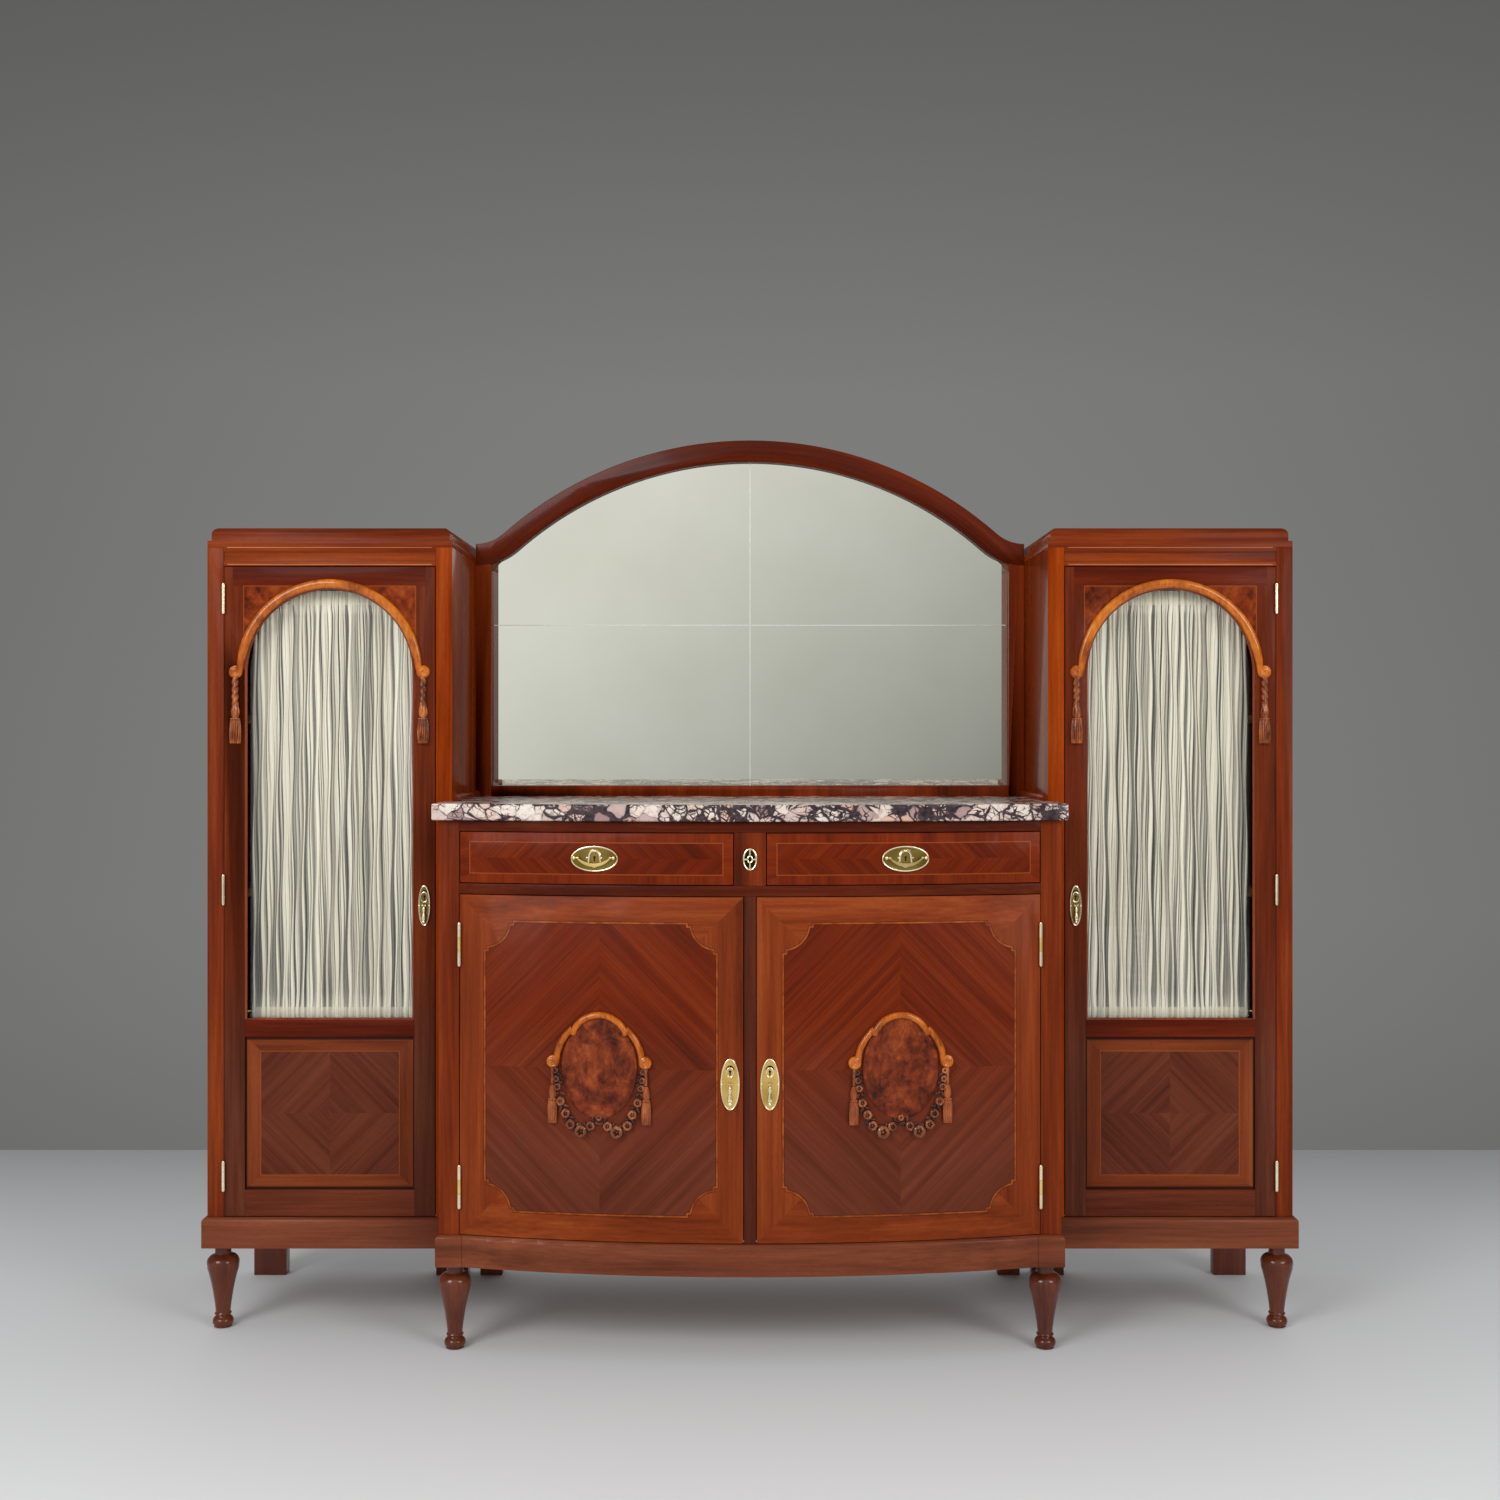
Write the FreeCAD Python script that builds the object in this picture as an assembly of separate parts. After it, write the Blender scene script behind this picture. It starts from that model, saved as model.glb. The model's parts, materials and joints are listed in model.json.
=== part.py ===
import FreeCAD, Part
import math
import os

from FreeCAD import Rotation, Vector

# The cabinet stands on z = 0 with X to the right and its back towards +Y.
# Two tall glazed side cabinets flank a low cupboard with a bowed front,
# a marble top and an arched mirror. All sizes are in millimetres.

# Overall layout
floor_clearance = 158.0
plinth_height = 57.0
side_cabinet_width = 462.0
side_cabinet_depth = 360.0
side_cabinet_height = 1517.0
niche_width = 1124.0
centre_step = 114.0
bow_rise = 60.0
marble_height = 1000.0
marble_thickness = 30.0
marble_overhang = 14.0
marble_end_overhang = 10.0

# Boards and running gaps
side_board = 20.0
centre_side_board = 18.0
shelf_board = 16.0
floor_board = 20.0
back_board = 8.0
housing_depth = 5.0
face_thickness = 22.0
door_gap = 1.5
hinge_gap = 0.8
behind_door_gap = 2.0
sliding_gap = 0.3
overrun = 40.0

# Plinths, turned legs and back feet
plinth_board = 20.0
plinth_reach = 9.0
plinth_edge_round = 8.0
centre_plinth_reach = 5.0
centre_plinth_block_reach = 8.0
centre_plinth_block_width = 48.0
leg_block = 62.0
leg_inset_side = 30.0
leg_inset_front = 38.0
leg_neck_radius = 15.0
leg_neck_height = 8.0
leg_belly_radius = 30.0
leg_belly_height = 124.0
leg_ankle_radius = 13.8
leg_bun_radius = 19.4
leg_bun_height = 22.0
leg_sole_radius = 16.5
foot_thickness = 27.0
outer_foot_width = 67.0
inner_foot_offset = 25.0
centre_foot_width = 46.0

# Side cabinet fronts
side_stile = 31.0
cornice_height = 38.0
cornice_fascia = 12.0
cornice_setback = 6.0
cornice_round = 13.0
cornice_rail = 35.5
rail_recess_depth = 1.5
rail_recess_margin = 9.0
upper_shelf_drop = 80.0
lower_shelf_top = 831.0
shelf_setback = 52.0

# Glazed doors
door_stile = 39.0
door_bottom_rail = 50.0
door_mid_rail_top = 587.0
door_mid_rail = 32.0
door_panel_thickness = 8.0
door_panel_recess = 4.0
door_panel_groove = 6.0
glass_rebate = 6.0
glass_recess = 12.0
glass_thickness = 3.0
glazing_bead = 4.0
door_head = 199.0

# Carved arch on the glazed doors
moulding_width = 14.0
volute_radius = 11.0
volute_depth = 11.0
volute_reach = 5.0
rope_radius = 5.5
rope_length = 50.0
tassel_bell_radius = 9.0
tassel_bell_length = 25.0
tassel_skirt_radius = 11.0
tassel_skirt_length = 45.0
tassel_shoulder_share = 0.55
tassel_waist_share = 0.7
tassel_bead_share = 0.9
tassel_neck_share = 0.6
tassel_step_shares = (0.7, 0.85, 1.0, 1.12)

# Curtains and their rods
curtain_half_width = 156.0
curtain_stand_off = 14.0
curtain_cloth = 1.6
curtain_rod_radius = 2.0
curtain_rod_reach = 10.0
curtain_bracket = 10.0
curtain_folds = 10
curtain_hem = 586.0
curtain_lower_rod = 598.0
curtain_rod_rise = 130.0
curtain_header_rise = 157.0
curtain_slack_depth = 4.6
curtain_rod_depth = 3.4

# Centre cupboard
centre_stile = 38.0
centre_corner_reach = 5.0
cupboard_top = 20.0
drawer_rail = 19.0
drawer_height = 95.0
divider_width = 57.0
divider_depth = 40.0
divider_board = 18.0
door_post_width = 21.0
centre_shelf_rise = 14.5
centre_shelf_setback = 60.0
marble_round = 3.0

# Drawers
drawer_front = 20.0
drawer_side = 10.0
drawer_bottom = 6.0
drawer_bottom_rise = 7.0
drawer_depth = 400.0
drawer_side_height = 82.0
drawer_guide_height = 20.0
guide_end_gap = 2.0

# Mirror, its arched moulding and the back behind it
mirror_setback = 275.0
mirror_frame_depth = 30.0
mirror_stile = 31.5
mirror_bottom_rail = 21.0
mirror_rebate = 6.0
mirror_lip = 14.0
mirror_glass = 4.0
mirror_joint_drop = 13.5
mirror_joint_gap = 0.5
arch_rise = 212.0
arch_radius = 765.0
arch_width = 44.0
arch_foot_radius = 85.0
batten_width = 40.0
batten_thickness = 22.0
batten_offset = 380.0
batten_height = 530.0
shoe_width = 10.0
shoe_height = 12.0
shoe_round = 6.0

# Hinges
knuckle_radius = 3.5
hinge_pin_radius = 1.5
pin_clearance = 0.05
knuckle_gap = 0.3
knuckle_stand_off = 0.3
bow_knuckle_stand_off = 0.6
hinge_ball_radius = 3.0
hinge_leaf = 1.6
hinge_leaf_depth = 18.0
side_hinge_height = 60.0
side_hinge_drop = 60.0
side_hinge_rise = 76.5
side_middle_hinge_rise = 3.75
centre_hinge_height = 82.0
centre_hinge_drop = 90.5
centre_hinge_rise = 86.5

# Oval brass plates, keyholes, pulls and bails
plate_thickness = 2.0
plate_rim = 2.5
plate_rim_height = 0.8
side_plate_half_width = 11.3
side_plate_half_height = 37.8
side_plate_height = 803.0
centre_plate_half_width = 17.0
centre_plate_half_height = 46.0
centre_plate_drop = 24.5
centre_plate_offset = 35.5
escutcheon_half_width = 12.5
escutcheon_half_height = 19.5
keyhole_radius = 2.2
keyhole_slot = 5.5
keyhole_slot_width = 2.2
keyhole_rise_share = 0.36
pull_pivot_share = 0.02
pull_pivot_stand_off = 5.0
pull_pin_radius = 1.0
pull_eye_radius = 2.4
pull_eye_width = 3.0
pull_ear_gap = 0.5
pull_ear_thickness = 1.5
pull_ear_radius = 2.8
pull_neck_length = 6.0
pull_length = 27.0
pull_body_radius = 4.5
drawer_plate_half_width = 43.0
drawer_plate_half_height = 23.0
bail_post_offset = 36.0
bail_post_radius = 3.2
bail_post_length = 8.5
bail_pivot_stand_off = 5.5
bail_pivot_rise = 2.0
bail_pin_radius = 1.2
bail_pin_depth = 2.4
bail_side_gap = 0.4
bail_thickness = 3.0
bail_drop = 16.0
bail_depth = 6.0
bail_boss_radius = 2.4
ornament_half_width = 11.0
ornament_bar_radius = 1.6
ornament_top = 5.0
ornament_foot = 10.0

# Lock bolts
bolt_length = 27.0
bolt_height = 16.0
bolt_thickness = 5.0
bolt_inset = 9.0
bolt_clearance = 0.3
bolt_throw = 7.0
strike_slack = 1.0

# Carved medallion on the cupboard doors
medallion_drop = 3.5
plaque_half_width = 70.0
plaque_half_height = 97.0
plaque_thickness = 1.5
crest_radius = 47.0
crest_half_width = 41.0
crest_top = 102.0
crest_bar_radius = 6.0
shoulder_half_width = 76.0
shoulder_foot = 28.0
shoulder_bulge = 9.0
medallion_volute_half_span = 85.0
medallion_volute_height = 18.0
garland_half_width = 80.0
garland_drop = 108.0
garland_bar_radius = 4.0
rose_radius = 9.0
rose_depth = 7.0
garland_shares = (
    (1.0, 0.0, 0.6),
    (0.98, 0.14, 0.65),
    (0.95, 0.27, 0.7),
    (0.88, 0.51, 0.85),
    (0.76, 0.71, 0.9),
    (0.65, 0.89, 0.95),
    (0.41, 1.0, 1.25),
    (0.2, 0.91, 0.9),
    (0.0, 0.77, 0.6),
)
medallion_tassel_half_span = 88.0
medallion_tassel_top = -18.0
medallion_tassel_bell = 22.0
medallion_tassel_skirt = 46.0
medallion_tassel_radius = 7.5
medallion_rope_radius = 2.5

# Derived places
total_depth = side_cabinet_depth + centre_step + bow_rise + marble_overhang
back_y = total_depth / 2
side_front_y = back_y - side_cabinet_depth
centre_front_y = side_front_y - centre_step
nose_y = centre_front_y - bow_rise
carcass_z = floor_clearance + plinth_height
inner_x = niche_width / 2
outer_x = inner_x + side_cabinet_width
cornice_z = side_cabinet_height - cornice_height
panel_y = back_y - back_board

door_x0 = inner_x + side_stile + door_gap
door_x1 = outer_x - side_stile - hinge_gap
door_mid_x = (door_x0 + door_x1) / 2
door_z0 = carcass_z + door_gap
door_z1 = cornice_z - cornice_rail - door_gap
door_middle_z = (door_z0 + door_z1) / 2
glass_half = (door_x1 - door_x0) / 2 - door_stile
arch_spring = door_z1 - door_head
upper_shelf_top = arch_spring - upper_shelf_drop
curtain_upper_rod = arch_spring + curtain_rod_rise
curtain_header = arch_spring + curtain_header_rise
side_hinge_places = (door_z1 - side_hinge_drop, door_middle_z + side_middle_hinge_rise,
                     door_z0 + side_hinge_rise)
door_back_y = side_front_y + face_thickness
curtain_y = door_back_y + curtain_stand_off

centre_corner_half = inner_x + centre_corner_reach
opening_half = centre_corner_half - centre_stile
bow_radius = (opening_half ** 2 + bow_rise ** 2) / (2 * bow_rise)
bow_centre_y = nose_y + bow_radius
centre_side_x = inner_x - centre_side_board
marble_z = marble_height - marble_thickness
drawer_top = marble_z - cupboard_top
drawer_rail_top = drawer_top - drawer_height
drawer_rail_z = drawer_rail_top - drawer_rail
post_half = door_post_width / 2
divider_half = divider_width / 2
centre_door_x0 = post_half + door_gap
centre_door_x1 = opening_half - hinge_gap
centre_door_z0 = carcass_z + door_gap
centre_door_z1 = drawer_rail_z - door_gap
centre_middle_z = (centre_door_z0 + centre_door_z1) / 2
centre_hinge_places = (centre_door_z1 - centre_hinge_drop, centre_door_z0 + centre_hinge_rise)
centre_shelf_top = centre_middle_z + centre_shelf_rise
centre_plate_height = centre_middle_z - centre_plate_drop
medallion_height = centre_middle_z - medallion_drop
drawer_x0 = divider_half + door_gap
drawer_x1 = opening_half - door_gap
drawer_mid_x = (drawer_x0 + drawer_x1) / 2
drawer_mid_z = drawer_rail_top + drawer_height / 2
medallion_x = (centre_door_x0 + centre_door_x1) / 2

mirror_y = side_front_y + mirror_setback
mirror_back_y = mirror_y + mirror_frame_depth
arch_top = side_cabinet_height + arch_rise
mirror_joint = (marble_height + arch_top) / 2 - mirror_joint_drop
arch_centre_z = arch_top - arch_radius
foot_turn = math.asin(inner_x / (arch_radius + arch_foot_radius))
foot_centre_z = arch_centre_z + (arch_radius + arch_foot_radius) * math.cos(foot_turn)
mirror_glass_half = inner_x - mirror_stile

side_leg_x = outer_x + plinth_reach - leg_inset_side
side_leg_y = side_front_y - plinth_reach + leg_inset_front
centre_leg_x = centre_corner_half + centre_plinth_reach - leg_inset_side
centre_leg_y = centre_front_y - centre_plinth_block_reach + leg_inset_front


# Shape helpers

def block(x0, x1, y0, y1, z0, z1):
    """A board between two corners."""
    return Part.makeBox(x1 - x0, y1 - y0, z1 - z0, Vector(x0, y0, z0))


def rod(start, axis, radius, length):
    """A round bar from a point along an axis."""
    return Part.makeCylinder(radius, length, start, axis)


def joined(first, *others):
    """Shapes glued or cast into one, without the seams between them."""
    result = first
    for other in others:
        result = result.fuse(other)
    return result.removeSplitter()


def mirrored(shape):
    """The left-hand twin of a right-hand piece."""
    return shape.mirror(Vector(0, 0, 0), Vector(1, 0, 0))


def group(*shapes):
    """Separate solids that share one node."""
    return Part.makeCompound([solid for shape in shapes for solid in shape.Solids])


def pair(shape):
    """A right-hand piece and its left-hand twin in one node."""
    return group(shape, mirrored(shape))


def outline(start, *steps):
    """A flat face. A step of one point is a line and of two points an arc through the first."""
    edges = []
    here = start
    for step in steps:
        if len(step) == 1:
            edges.append(Part.LineSegment(here, step[0]).toShape())
        else:
            edges.append(Part.Arc(here, step[0], step[1]).toShape())
        here = step[-1]
    edges.append(Part.LineSegment(here, start).toShape())
    return Part.Face(Part.Wire(edges))


def rounded(shape, radius, wanted):
    """Round the edges whose centre point passes the test."""
    edges = [edge for edge in shape.Edges if wanted(edge.CenterOfMass)]
    return shape.makeFillet(radius, edges)


def near(value, target):
    """True where two places agree to rounding."""
    return math.isclose(value, target, rel_tol=1e-6)


def turned(*points):
    """A solid of revolution about Z from outline steps in the XZ plane."""
    return outline(*points).revolve(Vector(0, 0, 0), Vector(0, 0, 1), 360)


def moved(shape, x, y, z):
    """A copy of a shape carried by an offset."""
    copy = shape.copy()
    copy.translate(Vector(x, y, z))
    return copy


def boss(x, z, radius, depth):
    """A round stud that stands forward of a flat front, with stock behind it to be cut away."""
    start = Vector(x, face_thickness / 2, z)
    return rod(start, Vector(0, -1, 0), radius, face_thickness / 2 + depth)


def bar_arc(x, y, z, radius, bar_radius, start, end):
    """A round bar bent to an arc in an upright plane, its angles in degrees from +X to +Z."""
    ring = Part.Wire([Part.Circle(Vector(radius, 0, 0), Vector(0, 0, 1), bar_radius).toShape()])
    arc = Part.Face(ring).revolve(Vector(0, 0, 0), Vector(0, -1, 0), end - start)
    arc.rotate(Vector(0, 0, 0), Vector(0, -1, 0), start)
    return moved(arc, x, y, z)


# The bowed front

def bow_y(x, inset=0.0):
    """Y of the bowed front at x, set back by an inset along its radius."""
    radius = bow_radius - inset
    return bow_centre_y - math.sqrt(radius ** 2 - x ** 2)


def bow_slab(x0, x1, front, back, z0, z1):
    """A curved board between two insets from the bowed front."""
    middle = (x0 + x1) / 2
    face = outline(
        Vector(x0, bow_y(x0, front), z0),
        (Vector(middle, bow_y(middle, front), z0), Vector(x1, bow_y(x1, front), z0)),
        (Vector(x1, bow_y(x1, back), z0),),
        (Vector(middle, bow_y(middle, back), z0), Vector(x0, bow_y(x0, back), z0)),
    )
    return face.extrude(Vector(0, 0, z1 - z0))


def bow_board(front, rear_y, z0, z1):
    """A full-depth board with a bowed front edge, let in between the cupboard's sides."""
    shoulder = bow_y(opening_half, front)
    notch = max(shoulder, centre_front_y + face_thickness)
    face = outline(
        Vector(-opening_half, shoulder, z0),
        (Vector(0, bow_y(0, front), z0), Vector(opening_half, shoulder, z0)),
        (Vector(opening_half, rear_y, z0),),
        (Vector(-opening_half, rear_y, z0),),
    )
    front_part = face.extrude(Vector(0, 0, z1 - z0))
    return joined(front_part, block(-centre_side_x, centre_side_x, notch, rear_y, z0, z1))


def on_bow(shape, x):
    """Carry a piece made against a flat front at the origin on to the bowed front at x."""
    turn = math.degrees(math.asin(x / bow_radius))
    copy = shape.copy()
    copy.rotate(Vector(0, 0, 0), Vector(0, 0, 1), turn)
    copy.translate(Vector(x, bow_y(x), 0))
    return copy


def seated_on_bow(shape, x):
    """A piece carried on to the bowed front with its back cut to the curve."""
    carried = on_bow(shape, x)
    reach = 2 * overrun
    box = carried.BoundBox
    behind = bow_slab(max(box.XMin - overrun, 0), box.XMax + overrun, 0, reach,
                      box.ZMin - overrun, box.ZMax + overrun)
    return carried.cut(behind)


# Side cabinets

def shelf_blank(top, thickness, front_y):
    """One shelf or floor board of the right-hand side cabinet, housed in both sides."""
    return block(inner_x + side_board - housing_depth, outer_x - side_board + housing_depth,
                 front_y, panel_y, top - thickness, top)


def side_floor():
    return shelf_blank(carcass_z + floor_board, floor_board, door_back_y + behind_door_gap)


def side_shelves():
    front = side_front_y + shelf_setback
    return [shelf_blank(top, shelf_board, front) for top in (upper_shelf_top, lower_shelf_top)]


def side_strike():
    """The mortise in the inner stile that takes the lock bolt."""
    edge = inner_x + side_stile
    depth = bolt_throw + strike_slack
    half = bolt_height / 2 + strike_slack
    middle = side_bolt_z()
    return block(edge - depth, edge, side_front_y + bolt_inset - strike_slack,
                 side_front_y + bolt_inset + bolt_thickness + strike_slack,
                 middle - half, middle + half)


def outer_side():
    """Outer side board with its front stile."""
    board = block(outer_x - side_board, outer_x, side_front_y, back_y, carcass_z, cornice_z)
    stile = block(outer_x - side_stile, outer_x, side_front_y, door_back_y, carcass_z, cornice_z)
    result = joined(board, stile)
    for place in side_hinge_places:
        result = result.cut(side_hinge(place).fixed_leaf)
    return result.cut(group(side_floor(), *side_shelves()))


def inner_side():
    """Niche side board with its front stile."""
    board = block(inner_x, inner_x + side_board, side_front_y, back_y, carcass_z, cornice_z)
    stile = block(inner_x, inner_x + side_stile, side_front_y, door_back_y, carcass_z, cornice_z)
    result = joined(board, stile).cut(side_strike())
    return result.cut(group(side_floor(), *side_shelves()))


def cornice():
    """Stepped and rounded top with the front rail under it."""
    step_z = cornice_z + cornice_fascia
    fascia = block(inner_x, outer_x, side_front_y, back_y, cornice_z, step_z)
    cap = block(inner_x + cornice_setback, outer_x - cornice_setback,
                side_front_y + cornice_setback, back_y, step_z, side_cabinet_height)
    cap = rounded(cap, cornice_round,
                  lambda c: near(c.z, side_cabinet_height) and not near(c.y, back_y))
    rail_z = cornice_z - cornice_rail
    rail = block(inner_x + side_stile, outer_x - side_stile, side_front_y, door_back_y,
                 rail_z, cornice_z)
    recess = block(inner_x + side_stile, outer_x - side_stile, side_front_y,
                   side_front_y + rail_recess_depth,
                   rail_z + rail_recess_margin, cornice_z - rail_recess_margin)
    return joined(fascia, cap, rail.cut(recess))


def side_plinth():
    """Rectangular plinth with a rounded top edge and a block over the turned leg."""
    x1 = outer_x + plinth_reach
    y0 = side_front_y - plinth_reach
    body = block(inner_x, x1, y0, back_y, floor_clearance, carcass_z)
    body = rounded(body, plinth_edge_round,
                   lambda c: near(c.z, carcass_z) and (near(c.x, x1) or near(c.y, y0)))
    hollow = block(inner_x + plinth_board, x1 - plinth_board, y0 + plinth_board,
                   back_y - plinth_board, floor_clearance, carcass_z)
    corner = block(x1 - leg_block, x1 - plinth_board, y0 + plinth_board, y0 + leg_block,
                   floor_clearance, carcass_z)
    return joined(body.cut(hollow), corner)


def side_back():
    return block(inner_x + side_board, outer_x - side_board, panel_y, back_y, carcass_z, cornice_z)


# Legs and feet

def leg():
    """Turned front leg: neck, rounded shoulder, long taper and a bun foot."""
    neck_z = floor_clearance - leg_neck_height
    rise = neck_z - leg_belly_height
    narrowing = leg_belly_radius - leg_neck_radius
    shoulder_radius = (narrowing ** 2 + rise ** 2) / (2 * narrowing)
    shoulder_x = leg_belly_radius - shoulder_radius
    half_turn = math.asin(rise / shoulder_radius) / 2
    shoulder = Vector(shoulder_x + shoulder_radius * math.cos(half_turn), 0,
                      leg_belly_height + shoulder_radius * math.sin(half_turn))
    return turned(
        Vector(0, 0, 0),
        (Vector(leg_sole_radius, 0, 0),),
        (Vector(leg_bun_radius, 0, leg_bun_height / 2), Vector(leg_ankle_radius, 0, leg_bun_height)),
        (Vector(leg_belly_radius, 0, leg_belly_height),),
        (shoulder, Vector(leg_neck_radius, 0, neck_z)),
        (Vector(leg_neck_radius, 0, floor_clearance),),
        (Vector(0, 0, floor_clearance),),
    )


def front_legs():
    shape = leg()
    outer = moved(shape, side_leg_x, side_leg_y, 0)
    centre = moved(shape, centre_leg_x, centre_leg_y, 0)
    return group(pair(outer), pair(centre))


def back_feet():
    """Plank feet under the back edge of each plinth."""
    y0 = back_y - foot_thickness
    plinth_x = outer_x + plinth_reach
    outer = block(plinth_x - outer_foot_width, plinth_x, y0, back_y, 0, floor_clearance)
    inner_x0 = inner_x + inner_foot_offset
    inner = block(inner_x0, inner_x0 + outer_foot_width, y0, back_y, 0, floor_clearance)
    centre = block(inner_x - centre_foot_width, inner_x, y0, back_y, 0, floor_clearance)
    return group(pair(outer), pair(inner), pair(centre))


# Hinges

class Hinge:
    """One butt hinge: three knuckles on a pin, ball tips and two leaves."""

    def __init__(self, axis_x, face_y, stand_off, middle_z, height):
        self.axis_x = axis_x
        self.axis_y = face_y - knuckle_radius - stand_off
        self.z0 = middle_z - height / 2 + hinge_ball_radius
        self.z1 = middle_z + height / 2 - hinge_ball_radius
        third = (self.z1 - self.z0) / 3
        self.mid_z0 = self.z0 + third
        self.mid_z1 = self.z1 - third
        self.fixed_x = axis_x + hinge_gap / 2
        self.moving_x = axis_x - hinge_gap / 2 - hinge_leaf
        self.fixed_leaf = self.leaf(self.fixed_x, face_y, self.z0, self.z1)
        self.moving_leaf = self.leaf(self.moving_x, face_y, self.z0, self.z1)

    def leaf(self, x, face_y, z0, z1):
        return block(x, x + hinge_leaf, face_y, face_y + hinge_leaf_depth, z0, z1)

    def barrel(self, radius, z0, z1):
        start = Vector(self.axis_x, self.axis_y, z0)
        return rod(start, Vector(0, 0, 1), radius, z1 - z0)

    def web(self, x, leaf, z0, z1):
        """The strip that joins a knuckle to its leaf."""
        return block(x, x + hinge_leaf, self.axis_y, leaf.BoundBox.YMin, z0, z1)

    def fixed(self):
        spans = ((self.z0, self.mid_z0 - knuckle_gap), (self.mid_z1 + knuckle_gap, self.z1))
        parts = [self.fixed_leaf, self.barrel(hinge_pin_radius, self.z0, self.z1)]
        for z0, z1 in spans:
            parts.append(self.barrel(knuckle_radius, z0, z1))
            parts.append(self.web(self.fixed_x, self.fixed_leaf, z0, z1))
        for z in (self.z0, self.z1):
            ball = Part.makeSphere(hinge_ball_radius)
            parts.append(moved(ball, self.axis_x, self.axis_y, z))
        return joined(*parts)

    def moving(self):
        knuckle = joined(self.moving_leaf,
                         self.barrel(knuckle_radius, self.mid_z0, self.mid_z1),
                         self.web(self.moving_x, self.moving_leaf, self.mid_z0, self.mid_z1))
        return knuckle.cut(self.barrel(hinge_pin_radius + pin_clearance, self.z0, self.z1))


def side_hinge(z):
    return Hinge(outer_x - side_stile - hinge_gap / 2, side_front_y, knuckle_stand_off, z,
                 side_hinge_height)


def centre_hinge(z):
    return Hinge(opening_half - hinge_gap / 2, centre_front_y, bow_knuckle_stand_off, z,
                 centre_hinge_height)


def fixed_hinges(make, places):
    return pair(group(*[make(z).fixed() for z in places]))


# Brass plates, pulls and bails, made against a flat front at the origin

def oval(half_width, half_height, thickness):
    """An oval slab from the front face outwards."""
    if half_width >= half_height:
        ellipse = Part.Ellipse(Vector(0, 0, 0), half_width, half_height).toShape()
    else:
        ellipse = Part.Ellipse(Vector(0, 0, 0), half_height, half_width).toShape()
        ellipse.rotate(Vector(0, 0, 0), Vector(0, 0, 1), 90)
    slab = Part.Face(Part.Wire([ellipse])).extrude(Vector(0, 0, thickness))
    slab.rotate(Vector(0, 0, 0), Vector(1, 0, 0), 90)
    return slab


def rimmed_oval(half_width, half_height):
    """An oval plate with a raised rim, deep enough behind to be cut to a curve."""
    slab = moved(oval(half_width, half_height, 2 * plate_thickness + plate_rim_height),
                 0, plate_thickness, 0)
    recess = oval(half_width - plate_rim, half_height - plate_rim, 2 * plate_rim_height)
    return slab.cut(moved(recess, 0, -plate_thickness, 0))


def keyhole(z):
    """The cutter for a keyhole: a round hole over a slot."""
    start = Vector(0, -overrun, z)
    hole = rod(start, Vector(0, 1, 0), keyhole_radius, 2 * overrun)
    half = keyhole_slot_width / 2
    slot = block(-half, half, -overrun, overrun, z - keyhole_slot, z)
    return joined(hole, slot)


class Pull:
    """A drop pull that hangs from two ears on an oval lock plate."""

    def __init__(self, half_width, half_height, middle_z):
        self.half_width = half_width
        self.half_height = half_height
        self.middle_z = middle_z
        self.pivot_y = -plate_thickness - pull_pivot_stand_off
        self.pivot_z = middle_z + half_height * pull_pivot_share

    def plate(self):
        plate = moved(rimmed_oval(self.half_width, self.half_height), 0, 0, self.middle_z)
        plate = plate.cut(keyhole(self.keyhole_z()))
        inner = pull_eye_width / 2 + pull_ear_gap
        parts = []
        for x in (-inner - pull_ear_thickness, inner):
            disc = rod(Vector(x, self.pivot_y, self.pivot_z), Vector(1, 0, 0),
                       pull_ear_radius, pull_ear_thickness)
            arm = block(x, x + pull_ear_thickness, self.pivot_y, -plate_thickness,
                        self.pivot_z - pull_ear_radius, self.pivot_z + pull_ear_radius)
            parts += [disc, arm]
        span = inner + pull_ear_thickness
        pin = rod(Vector(-span, self.pivot_y, self.pivot_z), Vector(1, 0, 0),
                  pull_pin_radius, 2 * span)
        return joined(plate, pin, *parts)

    def keyhole_z(self):
        return self.middle_z + self.half_height * keyhole_rise_share

    def drop(self):
        """The hanging drop with its eye."""
        half = pull_eye_width / 2
        eye = rod(Vector(-half, self.pivot_y, self.pivot_z), Vector(1, 0, 0),
                  pull_eye_radius, pull_eye_width)
        neck_z = -pull_neck_length
        belly_z = -pull_length + pull_body_radius
        body = turned(
            Vector(0, 0, neck_z + half),
            (Vector(half, 0, neck_z + half),),
            (Vector(half, 0, neck_z),),
            (Vector(pull_body_radius, 0, belly_z),),
            (Vector(pull_body_radius * math.sqrt(0.5), 0,
                    belly_z - pull_body_radius * math.sqrt(0.5)),
             Vector(0, 0, -pull_length)),
        )
        neck = rod(Vector(0, 0, neck_z), Vector(0, 0, 1), half, pull_neck_length)
        hanging = moved(joined(body, neck), 0, self.pivot_y, self.pivot_z)
        bore = rod(Vector(-pull_eye_width, self.pivot_y, self.pivot_z), Vector(1, 0, 0),
                   pull_pin_radius + pin_clearance, 2 * pull_eye_width)
        return joined(eye, hanging).cut(bore)


def side_pull():
    return Pull(side_plate_half_width, side_plate_half_height, side_plate_height)


def centre_pull():
    return Pull(centre_plate_half_width, centre_plate_half_height, centre_plate_height)


def side_plate_x():
    return door_x0 + door_stile / 2


def side_bolt_z():
    return side_pull().keyhole_z()


def centre_bolt_z():
    return centre_pull().keyhole_z()


def on_side_door(shape):
    """Carry a plate or pull on to the lock stile of the right glazed door."""
    return moved(shape, side_plate_x(), side_front_y, 0)


def bail_pivot():
    """Height and stand-off of the bail's pins against a flat front."""
    return -plate_thickness - bail_pivot_stand_off, drawer_mid_z + bail_pivot_rise


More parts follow.
